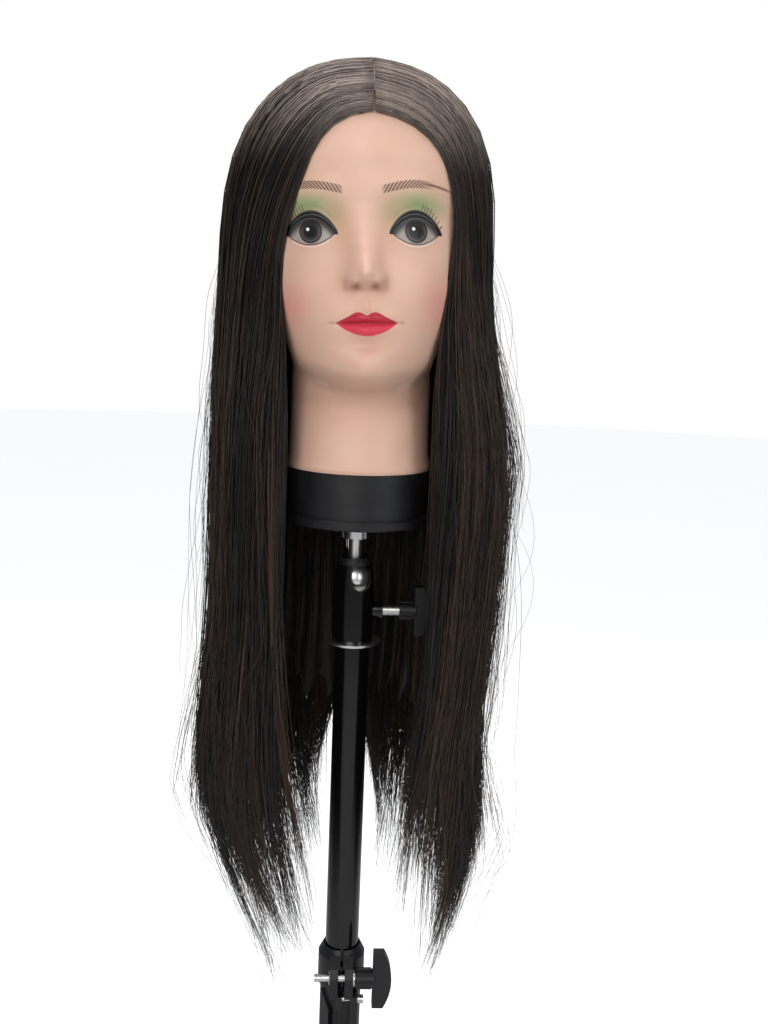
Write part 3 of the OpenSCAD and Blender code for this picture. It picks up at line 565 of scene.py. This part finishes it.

# %% [markdown]
# ## The painted face
# The skin is a warm, slightly translucent vinyl with a satin surface, and the make-up is sprayed
# and drawn on it: pink cheeks, green eye shadow, hatched brows, black lids, grey eyes with a
# white dot of light, a few lashes and red lips. Shade and light are painted on the skin as well:
# painted shade beside and under the nose, in the nostrils, by the inner eye corners, under the
# lower lip, at the mouth's corners and under the chin, a painted shadow of the upper lid over each
# eye, and painted highlights along the fold of the upper lid and under the lower lid. Paint could
# be a picture, but formulas stay sharp at any size. Each one is a soft edge round a curve in
# millimetres, mirrored about the face's own middle. Relief and paint are both set slightly askew
# on the head, by the same two amounts.

# %% Skin, eyes and mouth
def skin_vinyl():
    made = Finish("skin_vinyl", srgb(231, 190, 168), 0.42, Subsurface_Weight=0.12,
                  Subsurface_Scale=0.004)
    across, y, height = (made.axis(i) for i in range(3))
    x = across + (height - MOUTH_Z) * FACE_ASKEW
    z = height - across * FACE_TILT
    a = x.apply("ABSOLUTE")
    facing = (-y).above(25, 45)
    mottle = made.noise(22, 3)
    made.paint(srgb(222, 176, 152), mottle.above(0.4, 0.7) * 0.35)
    made.paint(srgb(240, 150, 142), a.near(50, 15) * z.near(921, 15) * facing * 0.62)
    # Painted shade in the hollows beside the inner corners of the eyes.
    made.paint(srgb(205, 160, 128), a.near(15, 7) * z.near(968, 15) * facing * 0.6)
    # Painted shade under the tip of the nose.
    made.paint(srgb(196, 138, 116), a.near(7, 7) * z.near(931.5, 3.0) * facing * 0.6)
    # Painted shade beside the wings of the nose.
    made.paint(srgb(200, 146, 122), a.near(12.4, 2.0) * z.near(935, 4.2) * facing * 0.4)
    # Painted shade down the sides of the nose.
    made.paint(srgb(206, 152, 130), a.near(9.5, 3.5) * z.near(950, 14) * facing * 0.25)
    # Painted shade in the groove under the lower lip.
    made.paint(srgb(204, 152, 132), x.near(0, 13) * z.near(899, 3.5) * facing * 0.45)
    # Painted shade on the neck under the chin.
    made.paint(srgb(176, 126, 104), height.near(862, 15) * 0.34)

    u, v = a - EYE_X, z - EYE_Z
    square = (u / EYE_HALF) * (u / EYE_HALF)
    arch = (-square + 1.0).apply("MAXIMUM", 0.0)
    wide = (-((u / 17.0) * (u / 17.0)) + 1.0).apply("MAXIMUM", 0.0)
    lid = arch.power(0.72) * LID_UP - CORNER_DROP
    liner = wide.power(0.8) * LINER_UP - CORNER_DROP
    under = arch * -LID_DOWN - CORNER_DROP

    made.paint(srgb(142, 169, 112), u.near(2, 15) * v.near(15.5, 6.5) * facing * 0.88)
    made.paint(srgb(176, 164, 124), u.near(-13, 8) * v.near(9, 8) * facing * 0.6)
    made.paint(srgb(120, 134, 100), u.near(9, 9) * v.near(11, 5) * facing * 0.35)

    brow_line = a.near(34, 27) * 7.5 + 986.2
    rise = z - brow_line
    slant = a.above(18, 48) * 1.5 + 0.75
    hatch = ((a - slant * rise) * 2.6).apply("SINE").above(-0.35, 0.5)
    body = (rise + 3.6).above(0, 0.8) * (-rise + 2.0).above(0, 1.0)
    length = a.above(11, 14) * (-a + 46.0).above(0, 12)
    made.paint(srgb(150, 118, 104), body * length * facing * 0.45)
    made.paint(srgb(70, 42, 40), body * length * hatch * facing * 0.82)
    tail = rise.near(-0.4, 0.75) * a.above(34, 42) * (-a + 58.0).above(0, 8)
    made.paint(srgb(86, 52, 44), tail * facing * 0.9)

    over = v - liner
    lean = (u - over * 0.28) * 3.8
    lashes = lean.apply("SINE").above(0.55, 0.9) * over.above(0.2, 0.8) * (-over + 5.0).above(0, 1)
    made.paint(srgb(40, 44, 34), lashes * u.above(3.2, 4.0) * (-u + 17.8).above(0, 1) * facing * 0.9)

    shade = (liner - v).above(-1.2, 0.9) * (v - under).above(-0.5, 0.2) * wide.above(0.0, 0.1)
    made.paint(srgb(17, 17, 21), shade * facing)
    # Painted highlight: a thin light-grey line along the fold of the upper lid.
    crease_highlight = (v - lid - 2.2).near(0, 0.3) * arch.above(0.12, 0.4)
    made.paint(srgb(120, 122, 122), crease_highlight * facing * 0.5)

    opening = (lid - v).above(-0.1, 0.4) * (v - under).above(-0.1, 0.35) * arch.above(0.0, 0.04)
    made.paint(srgb(172, 162, 156), opening * facing)
    lid_shadow = (-(lid - v) + 7.5).above(0, 6.5)
    made.paint(srgb(26, 25, 29), opening * lid_shadow * facing * 0.92)
    signed = x - x.apply("SIGN") * EYE_X
    from_iris = ((signed * signed) + (v + 0.4) * (v + 0.4)).power(0.5)
    made.paint(srgb(30, 27, 29), opening * (-from_iris + 7.3).above(0, 0.5) * facing)
    ring = from_iris.near(5.5, 0.8) * (-v + 5.0).above(0, 6)
    made.paint(srgb(96, 84, 80), opening * ring * facing * 0.85)
    made.paint(srgb(52, 49, 51), opening * (-from_iris + 4.7).above(0, 0.6) * facing * 0.6)
    made.paint(srgb(11, 10, 13), opening * (-from_iris + 3.9).above(0, 0.8) * facing)
    dot = ((signed + 1.7) * (signed + 1.7) + (v - 1.0) * (v - 1.0)).power(0.5)
    made.paint((1, 1, 1, 1), opening * (-dot + 1.25).above(0, 0.5) * facing)
    made.paint(srgb(34, 30, 32), (v - under).near(0, 0.38) * arch.above(0.0, 0.1) * facing * 0.9)
    # Painted highlight: a pale line along the edge just under the lower lid.
    made.paint(srgb(244, 222, 210), (v - under).near(-1.2, 0.5) * arch.above(0.15, 0.5) * facing * 0.7)

    mouth = (-((a / MOUTH_HALF) * (a / MOUTH_HALF)) + 1.0).apply("MAXIMUM", 0.0)
    w = z - MOUTH_Z
    upper = mouth * 5.4 + a.near(6, 4.5) * 1.7 - x.near(0, 2.5) * 1.0
    lower = mouth.power(1.05) * -7.9
    lips = (upper - w).above(-0.1, 0.4) * (w - lower).above(-0.1, 0.4) * mouth.above(0.0, 0.04)
    made.paint(srgb(226, 62, 84), lips * facing)
    made.paint(srgb(188, 36, 60), lips * w.above(-0.9, 0.5) * facing * 0.85)
    seam = (w + 0.2).near(0, 0.35) * (-a + MOUTH_HALF).above(0, 2)
    made.paint(srgb(120, 16, 34), seam * facing * 0.8)
    # Painted shade at the corners of the mouth.
    corner = a.near(MOUTH_HALF + 1.6, 2.4) * (w - 0.2).near(0, 0.9)
    made.paint(srgb(170, 120, 100), corner * facing * 0.6)
    # Painted shade in the nostrils.
    made.paint(srgb(150, 92, 78), a.near(5.9, 2.4) * z.near(932.6, 1.9) * facing * 0.75)

    wet = (opening * 0.12 + lips * 0.12) * facing
    made.roughen(-wet + mottle * 0.08 + 0.46)
    made.bump(made.noise(0.9, 3), 0.03)
    return made.material


head = rolled("painted_head", shell, skin_vinyl())
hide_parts("head_shell")
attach(head, "head")
print("painted_head has", len(head.data.polygons), "faces")

# %% [markdown]
# ## How the hair hangs
# Long straight hair leaves the parting, follows the skull, and falls from about ear height. Seen
# from above, the falling hair is an oval round the neck, open at the face. Its outline is a half
# width at each height: nearly straight sides, a swell low down, then ends that draw in.
# Below the shoulders the sides also part in the middle, so the mast shows between them.

# %% The outline of the falling hair
HANG_Z = 950.0
CENTRE_Y, BACK_REACH = 14.0, 100.0
EDGE_TURN = math.radians(-56)
LEFT_OUT = [(400, 40), (430, 54), (489, 80), (514, 95), (538, 116), (570, 127), (610, 120),
            (680, 106), (725, 104.5), (785, 107), (925, 104), (966, 97.5), (1000, 90)]
RIGHT_OUT = [(400, 62), (430, 76), (489, 100), (525, 118), (563, 107), (605, 97), (690, 104),
             (813, 113), (856, 104), (900, 93), (960, 84), (1000, 77)]
LEFT_IN = [(440, 20), (475, 27), (520, 31), (560, 31), (600, 14), (625, 0)]
RIGHT_IN = [(440, 33), (475, 37), (520, 33), (560, 25), (600, 8), (625, 0)]
FRONT_CLEAR = 48.0


def by_side(side, z, left, right):
    return np.where(side < 0, np.interp(z, *zip(*left)), np.interp(z, *zip(*right)))


def hanging(side, turn, depth, z):
    """Where a strand hangs at height z: turn is its bearing from the side towards the back, and
    depth runs from 0 inside the mass to 1 on its surface. The front locks keep further out where
    they pass the mounting cap and the ball head."""
    fill = (1 - 0.32 * (1 - depth)) * (1 - 0.15 * step(-turn, math.radians(28), -EDGE_TURN))
    inner = by_side(side, z, LEFT_IN, RIGHT_IN)
    outer = by_side(side, z, LEFT_OUT, RIGHT_OUT)
    front = step(-turn, 0.1, 0.6) * step(-z, -905, -855) * step(z, 590, 660)
    inner = inner + FRONT_CLEAR * front
    least = 0.42 * step(-z, -650, -520) * (1 - front) + 0.38 * front
    share = np.clip((np.cos(turn) * fill - least) / (1 - least), 0, 1)
    x = side * (inner + (outer - inner) * share)
    reach = BACK_REACH * np.interp(z, [440, 620, 800], [0.86, 0.95, 1.0])
    return joined(x, CENTRE_Y + reach * np.sin(turn) * fill, z)


print("front edge hangs at", np.round(hanging(np.array(1.0), EDGE_TURN, 1.0, np.array(900.0)), 1))

# %% [markdown]
# ## Dark layers under the strands
# Even fifteen thousand strands let light through. A real wig has a dark cap of wefts under its
# surface, so three thin closed shells stand for the lower layers: a cap over the skull and a
# curtain on each side. They are grids again, bent to the same outlines but smaller, and ridged
# in locks. Solidify gives the cap its thickness. It would tangle on a curtain's tight folds, so
# a curtain's grid runs down the outside and back up the inside. The strands then hide them all.

# %% Under layers
def hair_shade():
    made = Finish("hair_shade", srgb(20, 15, 14), 0.6)
    fibres = made.noise(1.1, 4, (1, 1, 40))
    made.paint(srgb(44, 33, 28), fibres.above(0.45, 0.7) * 0.7)
    made.bump(fibres, 0.4)
    return made.material


shade = hair_shade()
OPEN_RIGHT = [(0.52, 49), (0.62, 50.5), (0.69, 50), (0.73, 47), (0.76, 43), (0.79, 36.5), (0.81, 30),
              (0.824, 21), (0.832, 13), (0.8365, 5), (0.838, 0.5), (0.885, 0.5)]
OPEN_LEFT = [(0.52, 54), (0.62, 48), (0.70, 40), (0.74, 36), (0.78, 32), (0.81, 28.5), (0.826, 25),
             (0.833, 19), (0.837, 8), (0.838, 0.5), (0.885, 0.5)]
EDGE_BACK = 11.0


def edge_angle(t, table, back_mm=0.0):
    opening = np.interp(t, *zip(*table)) + back_mm * step(-t, -0.88, -0.80)
    return np.arcsin(np.clip(opening / (np.interp(t, *half_of) * HEAD_W), 0, 0.97))


rows = np.concatenate([np.linspace(0.56, 0.9, 34), np.linspace(0.91, 0.998, 22)])[:, None]
round_head = np.linspace(0, 1, 161)[None, :]
start_angle = edge_angle(rows, OPEN_RIGHT, EDGE_BACK)
end_angle = 2 * math.pi - edge_angle(rows, OPEN_LEFT, EDGE_BACK)
bearing = start_angle + (end_angle - start_angle) * round_head
from_edge = np.minimum(bearing - start_angle, end_angle - bearing)
swell = 0.4 + 4.0 * step(-rows, -0.90, -0.62) * step(from_edge, 0.2, 1.2)
ridges = 0.4 * np.sin(70 * bearing)
cap = rolled("wig_underlayer", head_point(rows, bearing, swell + ridges), shade, solid_mm=-1.2)
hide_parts("wig_crown")
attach(cap, "head")


CURTAIN_TOP, CURTAIN_LOW = 988, 620
CURTAIN_FRONT, CURTAIN_BACK = math.radians(-44), math.radians(86)
CURTAIN_COLUMNS = 120


def curtain(name, side, node):
    """A closed sheet: down the outside and up the inside, meeting at the edges and the top."""
    z = np.linspace(CURTAIN_TOP, CURTAIN_LOW, 40)[:, None]
    turn = np.linspace(CURTAIN_FRONT, CURTAIN_BACK, CURTAIN_COLUMNS)[None, :]
    locks = 0.035 * np.sin(turn * 46 + 2 * np.sin(z / 60))
    ragged = 10 * np.sin(turn * 31) * step(-z, -CURTAIN_LOW - 60, -CURTAIN_LOW)
    edge_share = np.sin(np.linspace(0, math.pi, CURTAIN_COLUMNS)) ** 0.3
    wall = 0.05 * edge_share * step(-z, -CURTAIN_TOP, 13 - CURTAIN_TOP)
    faces = [hanging(np.array(float(side)), turn, 0.34 + locks - w, z + ragged) for w in (0, wall)]
    made = rolled(name, np.concatenate([faces[0], faces[1][::-1]]), shade)
    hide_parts(node)
    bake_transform(made)
    return made


curtain("hair_underlayer_left", -1, "hair_left")
curtain("hair_underlayer_right", 1, "hair_right")
print("wig_underlayer has", len(cap.data.polygons), "faces")

# %% [markdown]
# ## One strand, many times
# A strand is a triangle extruded along its length with closed ends. Drawing thousands with
# operators would be slow, but one drawn strand can be doubled again and again: 1, 2, 4, 8. Each
# copy is then laid along its own path. Three sides are enough on something under a millimetre
# thick, and keep each strand to a few dozen faces.

# %% Strand maker
def strands(name, paths, radii, tone, material):
    """One mesh of closed three-sided strands: paths is copies x points x 3, in millimetres."""
    copies, points = paths.shape[:2]
    bundle = bmesh.new()
    bmesh.ops.create_circle(bundle, cap_ends=False, segments=3, radius=1)
    rim = bundle.edges[:]
    for ring in range(1, points):
        grown = bmesh.ops.extrude_edge_only(bundle, edges=rim)["geom"]
        corners = [g for g in grown if isinstance(g, bmesh.types.BMVert)]
        rim = [g for g in grown if isinstance(g, bmesh.types.BMEdge) and g.is_boundary]
        bmesh.ops.translate(bundle, verts=corners, vec=(0, 0, 1))
    bmesh.ops.holes_fill(bundle, edges=bundle.edges, sides=3)
    bmesh.ops.recalc_face_normals(bundle, faces=bundle.faces)
    for face in bundle.faces:
        face.smooth = True
    sizes = len(bundle.verts), len(bundle.edges), len(bundle.faces)
    drawn = 1
    while drawn < copies:
        more = min(drawn, copies - drawn)
        some = [seq[:more * n] for seq, n in zip((bundle.verts, bundle.edges, bundle.faces), sizes)]
        bmesh.ops.duplicate(bundle, geom=some[0] + some[1] + some[2])
        drawn += more
    mesh = bpy.data.meshes.new(name)
    bundle.to_mesh(mesh)
    bundle.free()

    template = np.zeros(len(mesh.vertices) * 3)
    mesh.vertices.foreach_get("co", template)
    template = template.reshape(-1, 3)[:sizes[0]]
    ring = np.rint(template[:, 2]).astype(int)
    along = np.gradient(paths, axis=1)
    along /= np.linalg.norm(along, axis=2, keepdims=True)
    sideways = np.zeros_like(paths)
    previous = np.cross(along[:, 0], (0.31, 0.2, 0.93))
    for k in range(points):
        previous = previous - (previous * along[:, k]).sum(1, keepdims=True) * along[:, k]
        previous /= np.linalg.norm(previous, axis=1, keepdims=True)
        sideways[:, k] = previous
    across = np.cross(along, sideways)
    thick = radii[:, ring, None]
    placed = (paths[:, ring] + thick * (template[:, 0, None] * sideways[:, ring]
                                        + template[:, 1, None] * across[:, ring]))
    mesh.vertices.foreach_set("co", (placed * MM).astype(np.float32).ravel())
    shade_of = mesh.attributes.new("tone", "FLOAT", "POINT")
    shade_of.data.foreach_set("value", np.repeat(tone, sizes[0]).astype(np.float32))
    rest_height = mesh.attributes.new("rest_height", "FLOAT", "POINT")
    rest_height.data.foreach_set("value", placed[..., 2].astype(np.float32).ravel())
    mesh.update()
    mesh.materials.append(material)
    return new_mesh_object(name, mesh)


print("strand maker ready")

# %% [markdown]
# ## The hair's colour
# The fibre is a glossy, nearly black brown. Strands differ a little, and here and there a whole
# lock is warmer, which gives the soft streaks. The variation sits in an attribute called tone,
# one value for each strand, because a pattern in space would ignore where strands begin and end.
# The crown has a painted sheen: its strands are painted a lighter grey-brown, patchily, where
# overhead light would shine. That goes by a second attribute, the height that each point has at
# rest, so the painted sheen stays on the crown when the mast rises.

# %% Hair finish
def hair_fibre():
    made = Finish("hair_fibre", srgb(20, 15, 14), 0.34, Specular_IOR_Level=0.6)
    tone, height = made.attribute("tone"), made.attribute("rest_height")
    made.paint(srgb(84, 60, 44), tone.above(0.3, 1.0) * 0.95)
    # Painted sheen: the crown's strands turn a lighter grey-brown where overhead light would shine,
    # patchily by noise and more on the warmer strands.
    painted_sheen_bands = made.noise(16, 3, (0.6, 1, 1))
    made.paint(srgb(186, 170, 160), height.above(1000, 1064) * (painted_sheen_bands * 0.5 + tone * 1.1) * 0.9)
    sheen = made.noise(9, 2, (1, 1, 12))
    made.roughen(sheen * 0.16 + 0.26)
    return made.material


fibre = hair_fibre()
print("hair finish ready")

# %% [markdown]
# ## Combing the hair
# Every strand that starts at the parting runs over the skull to the place where it begins to
# hang. Its way is a curve from the root to the hanging point, drawn out by a third point high at
# the temple. Near the face it follows the line where the wig frames the face instead. Each point
# of that way is then moved out from the head's middle until it lies on the skin plus the
# thickness of the hair. Neighbouring strands share a lock, and a lock draws together towards its
# tip, which gives the pointed, uneven ends of combed hair.

# %% Comb the strands
skin_tree = BVHTree.FromObject(head, bpy.context.evaluated_depsgraph_get())
HEAD_MIDDLE = np.array((0.0, 5.0, 950.0))
FALL_POINTS = 13
CROWN_POINTS = 11
PARTING_START = 0.838
MOST_BACK = math.radians(90)
CAP_CLEAR, CAP_HIGH = 57.5, 812
KNOB_CLEAR, KNOB_HIGH, KNOB_LOW = 60.0, 770, 600
SKIN_CLEAR, SKIN_LOW = 2.5, 806
FAR_OUT = 200


def skin_distance(origin, direction):
    """How far the skin is from a point inside the head, along a direction, in millimetres."""
    outward = Vector(direction)
    start = Vector(origin) * MM + outward * (FAR_OUT * MM)
    place, _, _, gone = skin_tree.ray_cast(start, -outward)
    return FAR_OUT - gone / MM if place else 0.0


skin_distance_all = np.vectorize(skin_distance, signature="(3),(3)->()")


def midline(share, grow):
    """The parting and the line behind it, from the hairline over the crown to the nape."""
    front = head_point(np.linspace(PARTING_START, 1, 50), np.zeros(50), 0)
    back = head_point(np.linspace(0.995, 0.70, 60), np.full(60, math.pi), 0)
    line = np.concatenate([front, back])
    gone = np.concatenate([[0], np.cumsum(np.linalg.norm(np.diff(line, axis=0), axis=1))])
    at = share * gone[-1]
    point = np.stack([np.interp(at, gone, line[:, i]) for i in range(3)], -1)
    outward = point - HEAD_MIDDLE
    outward /= np.linalg.norm(outward, axis=-1, keepdims=True)
    return point + outward * grow[..., None]


def smoothed(paths, times):
    for _ in range(times):
        middle = (paths[:, :-2] + 2 * paths[:, 1:-1] + paths[:, 2:]) / 4
        paths = np.concatenate([paths[:, :1], middle, paths[:, -1:]], 1)
    return paths


def locks_for(count, first_turn, last_turn, tips):
    """Locks of hair: bearing, how far each draws in, where it ends, its wave, its tone, how deep
    it lies and how far it drifts round the head as it falls."""
    return {"turn": np.sort(draw.uniform(first_turn, last_turn, count)),
            "draw_in": draw.uniform(0.35, 0.95, count), "tip": draw.uniform(*tips, count),
            "wave": draw.uniform(2.0, 12.0, count), "phase": draw.uniform(0, 6.28, count),
            "tone": np.clip(draw.normal(0.3, 0.26, count), 0, 1),
            "depth": draw.uniform(0, 1, count), "drift": draw.normal(0, 0.13, count)}


def fall(side, turn, depth, lock, pick, start_z, points):
    """The hanging part of each strand, from start_z down to its tip."""
    count = len(pick)
    own_tip = lock["tip"][pick] + draw.gamma(1.4, 26, count)
    share = np.linspace(0, 1, points)[None, :] ** draw.uniform(0.85, 1.2, (count, 1))
    z = start_z[:, None] + (np.minimum(own_tip, start_z - 60) - start_z)[:, None] * share
    pull = lock["draw_in"][pick][:, None] * share ** 2.4
    drift = lock["drift"][pick][:, None] * np.clip((start_z[:, None] - z) / 300, 0, 1)
    turn_at = turn[:, None] + (lock["turn"][pick] - turn)[:, None] * pull + drift
    turn_at = np.clip(turn_at, EDGE_TURN, MOST_BACK)
    depth_at = depth[:, None] + (0.72 - depth[:, None]) * pull
    path = hanging(side[:, None], turn_at, depth_at, z)
    gone = (start_z[:, None] - z) / 500
    ripple = np.sin(7 * gone + lock["phase"][pick][:, None])
    swing = lock["wave"][pick][:, None] * gone ** 1.3 * ripple
    loose = draw.normal(0, 2.6, (count, 2)) * (draw.uniform(0, 1, (count, 1)) ** 2 + 0.3)
    curl = np.sin(9 * gone + draw.uniform(0, 6.28, (count, 1)))
    path[..., 0] += swing + loose[:, :1] * gone * (1 + curl)
    path[..., 1] += 0.7 * swing + loose[:, 1:] * gone * (1 + curl)
    return path


def keep_clear(path):
    """Moves points out of the head, the neck, the cap and the stand's knob."""
    flat = path.reshape(-1, 3)
    out = flat * (1, 1, 0)
    radius = np.linalg.norm(out, axis=1)
    out /= np.maximum(radius, 1)[:, None]
    height = flat[:, 2]
    least = np.where(height < CAP_HIGH, np.where(height < KNOB_HIGH, KNOB_CLEAR, CAP_CLEAR), 0)
    least[height < KNOB_LOW] = 0
    high = height >= SKIN_LOW
    axis = np.stack([0 * height[high], 0 * height[high], height[high]], -1)
    least[high] = skin_distance_all(axis, out[high]) + SKIN_CLEAR
    push = np.maximum(least - radius, 0)
    return (flat + out * push[:, None]).reshape(path.shape)


def front_edge(table, side):
    """The line where the wig frames the face, from the parting down to the cheek."""
    t = np.linspace(PARTING_START, 0.53, 400)
    line = head_point(t, side * edge_angle(t, table))
    gone = np.concatenate([[0], np.cumsum(np.linalg.norm(np.diff(line, axis=0), axis=1))])
    return gone / gone[-1], line


def over_crown(side, turn, depth, below):
    """The part of each strand from the parting to where it starts to hang."""
    share = np.clip((turn - EDGE_TURN) / (MOST_BACK - EDGE_TURN), 0, 1)
    edge = 1 - step(share, 0, 0.34)
    root = midline(share ** 0.9, (1.2 + 4.3 * depth) * (1 - 0.35 * edge))
    root[:, 0] = side * draw.uniform(0.1, 1.0, len(side))
    end = below[:, 0]
    lift = np.where(side < 0, 3.0, 1.0)
    knee = np.stack([end[:, 0] * 0.80, root[:, 1] + (end[:, 1] - root[:, 1]) * (0.55 - 0.25 * edge),
                     root[:, 2] + lift], -1) + draw.normal(0, 2.5, (len(side), 3))
    pace = draw.uniform(0.85, 1.2, (len(side), 1))
    s = (np.linspace(0, 1, CROWN_POINTS)[None, :] ** pace)[..., None]
    curve = (1 - s) ** 2 * root[:, None] + 2 * s * (1 - s) * knee[:, None] + s ** 2 * end[:, None]
    gone, line = front_edge(OPEN_RIGHT if side[0] > 0 else OPEN_LEFT, side[0])
    face_line = np.stack([np.interp(s[..., 0], gone, line[:, i]) for i in range(3)], -1)
    curve = curve + (face_line - curve) * edge[:, None, None]
    curve = curve + (end - curve[:, -1])[:, None] * s ** 3
    ray = curve - HEAD_MIDDLE
    reach = np.linalg.norm(ray, axis=2, keepdims=True)
    ray /= reach
    skin = skin_distance_all(np.broadcast_to(HEAD_MIDDLE, ray.shape), ray)[..., None]
    first = np.linalg.norm(root - HEAD_MIDDLE, axis=1)[:, None, None] - skin[:, :1]
    last = reach[:, -1:] - skin[:, -1:]
    lay = np.maximum(first + (last - first) * s ** 1.15, 1.2 + 2 * depth[:, None, None])
    return HEAD_MIDDLE + ray * (skin + lay)


def thickness(count, points, root, body):
    share = np.linspace(0, 1, points)
    profile = root + (body - root) * step(share, 0, 0.15) - (body - 0.07) * step(share, 0.78, 1)
    return profile[None, :] * draw.uniform(0.75, 1.25, (count, 1))


TUCKED_TOP = 980.0


def hair_piece(name, count, side, turns_deg, depths, tips, crown, lock_count=40, replaces=()):
    """One piece of hair. With crown its strands start at the parting, and without it they start
    tucked under those. Side 0 takes both sides."""
    first, last = (math.radians(d) for d in turns_deg)
    lock = locks_for(lock_count, first, last, tips)
    pick = draw.integers(0, lock_count, count)
    sides = np.full(count, float(side)) if side else draw.choice((-1.0, 1.0), count)
    turn = np.clip(draw.uniform(first, last, count) * 0.4 + lock["turn"][pick] * 0.6, first, last)
    own_depth = draw.uniform(0, 1, count) * 0.5 + lock["depth"][pick] * 0.5
    depth = depths[0] + (depths[1] - depths[0]) * own_depth
    start = (HANG_Z if crown else TUCKED_TOP) + draw.uniform(-14, 14, count)
    path = keep_clear(fall(sides, turn, depth, lock, pick, start, FALL_POINTS))
    if crown:
        path = np.concatenate([over_crown(sides, turn, depth, path)[:, :-1], path], 1)
    path = smoothed(path, 3)
    tone = np.clip(lock["tone"][pick] + draw.normal(0, 0.13, count), 0, 1)
    made = strands(name, path, thickness(count, path.shape[1], 0.22, 0.36), tone, fibre)
    if replaces:
        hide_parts(*replaces)
    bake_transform(made)
    print(name, count, "strands", len(made.data.polygons), "faces")
    return made


LONG_TIPS, FRONT_TIPS, OUTER_TIPS, INNER_TIPS = (418, 545), (450, 620), (460, 610), (445, 590)
BACK_TIPS = (510, 600)
for side, word in ((-1, "left"), (1, "right")):
    hair_piece(f"hair_top_{word}", 1400, side, (-56, 25), (0.45, 1), LONG_TIPS, True)
    hair_piece(f"hair_front_{word}", 900, side, (-56, -28), (0.3, 1), FRONT_TIPS, True, 24)
    hair_piece(f"hair_outer_{word}", 1400, side, (10, 90), (0.5, 1), OUTER_TIPS, True)
    hair_piece(f"hair_inner_{word}", 2300, side, (-46, 70), (0.05, 0.75), INNER_TIPS, False, 80)
hair_piece("hair_back", 3000, 0, (55, 90), (0.1, 0.9), BACK_TIPS, False, 90, ("hair_back",))

# %% [markdown]
# ## Loose hairs
# A synthetic wig sheds a halo of stray hairs, here more of them on one side than the other. Each
# one leaves the surface of the mass, bows outwards on a long slow curl and mostly comes back. They
# are thinner than the strands, so they read as single hairs.

# %% Stray hairs
STRAY_POINTS = 18


def stray_hairs(name, count, side, bow_mm):
    sides = np.full(count, float(side))
    turn = np.radians(draw.uniform(-54, 60, count))
    top = draw.uniform(700, 1000, count)[:, None]
    drop = draw.uniform(90, 320, count)[:, None]
    share = np.linspace(0, 1, STRAY_POINTS)[None, :]
    z = top - drop * share
    path = hanging(sides[:, None], turn[:, None] + 0 * share, 0.97 + 0 * share, z)
    bow = draw.gamma(1.3, bow_mm, count)[:, None]
    bow = bow * np.sin(math.pi * share ** draw.uniform(0.7, 1.6, (count, 1)))
    wiggle = draw.normal(0, 2.0, (count, 1)) * np.sin(share * draw.uniform(4, 12, (count, 1)))
    open_end = draw.normal(0, 7, (count, 1)) * share ** 2
    path[..., 0] += side * np.cos(turn)[:, None] * bow + wiggle + open_end
    path[..., 1] += np.sin(turn)[:, None] * bow * 0.6 - wiggle
    path = keep_clear(path)
    tone = draw.uniform(0.2, 0.9, count)
    made = strands(name, path, thickness(count, STRAY_POINTS, 0.1, 0.13), tone, fibre)
    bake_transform(made)
    print(name, count, "hairs")


stray_hairs("stray_hairs_left", 170, -1, 3.5)
stray_hairs("stray_hairs_right", 340, 1, 4)
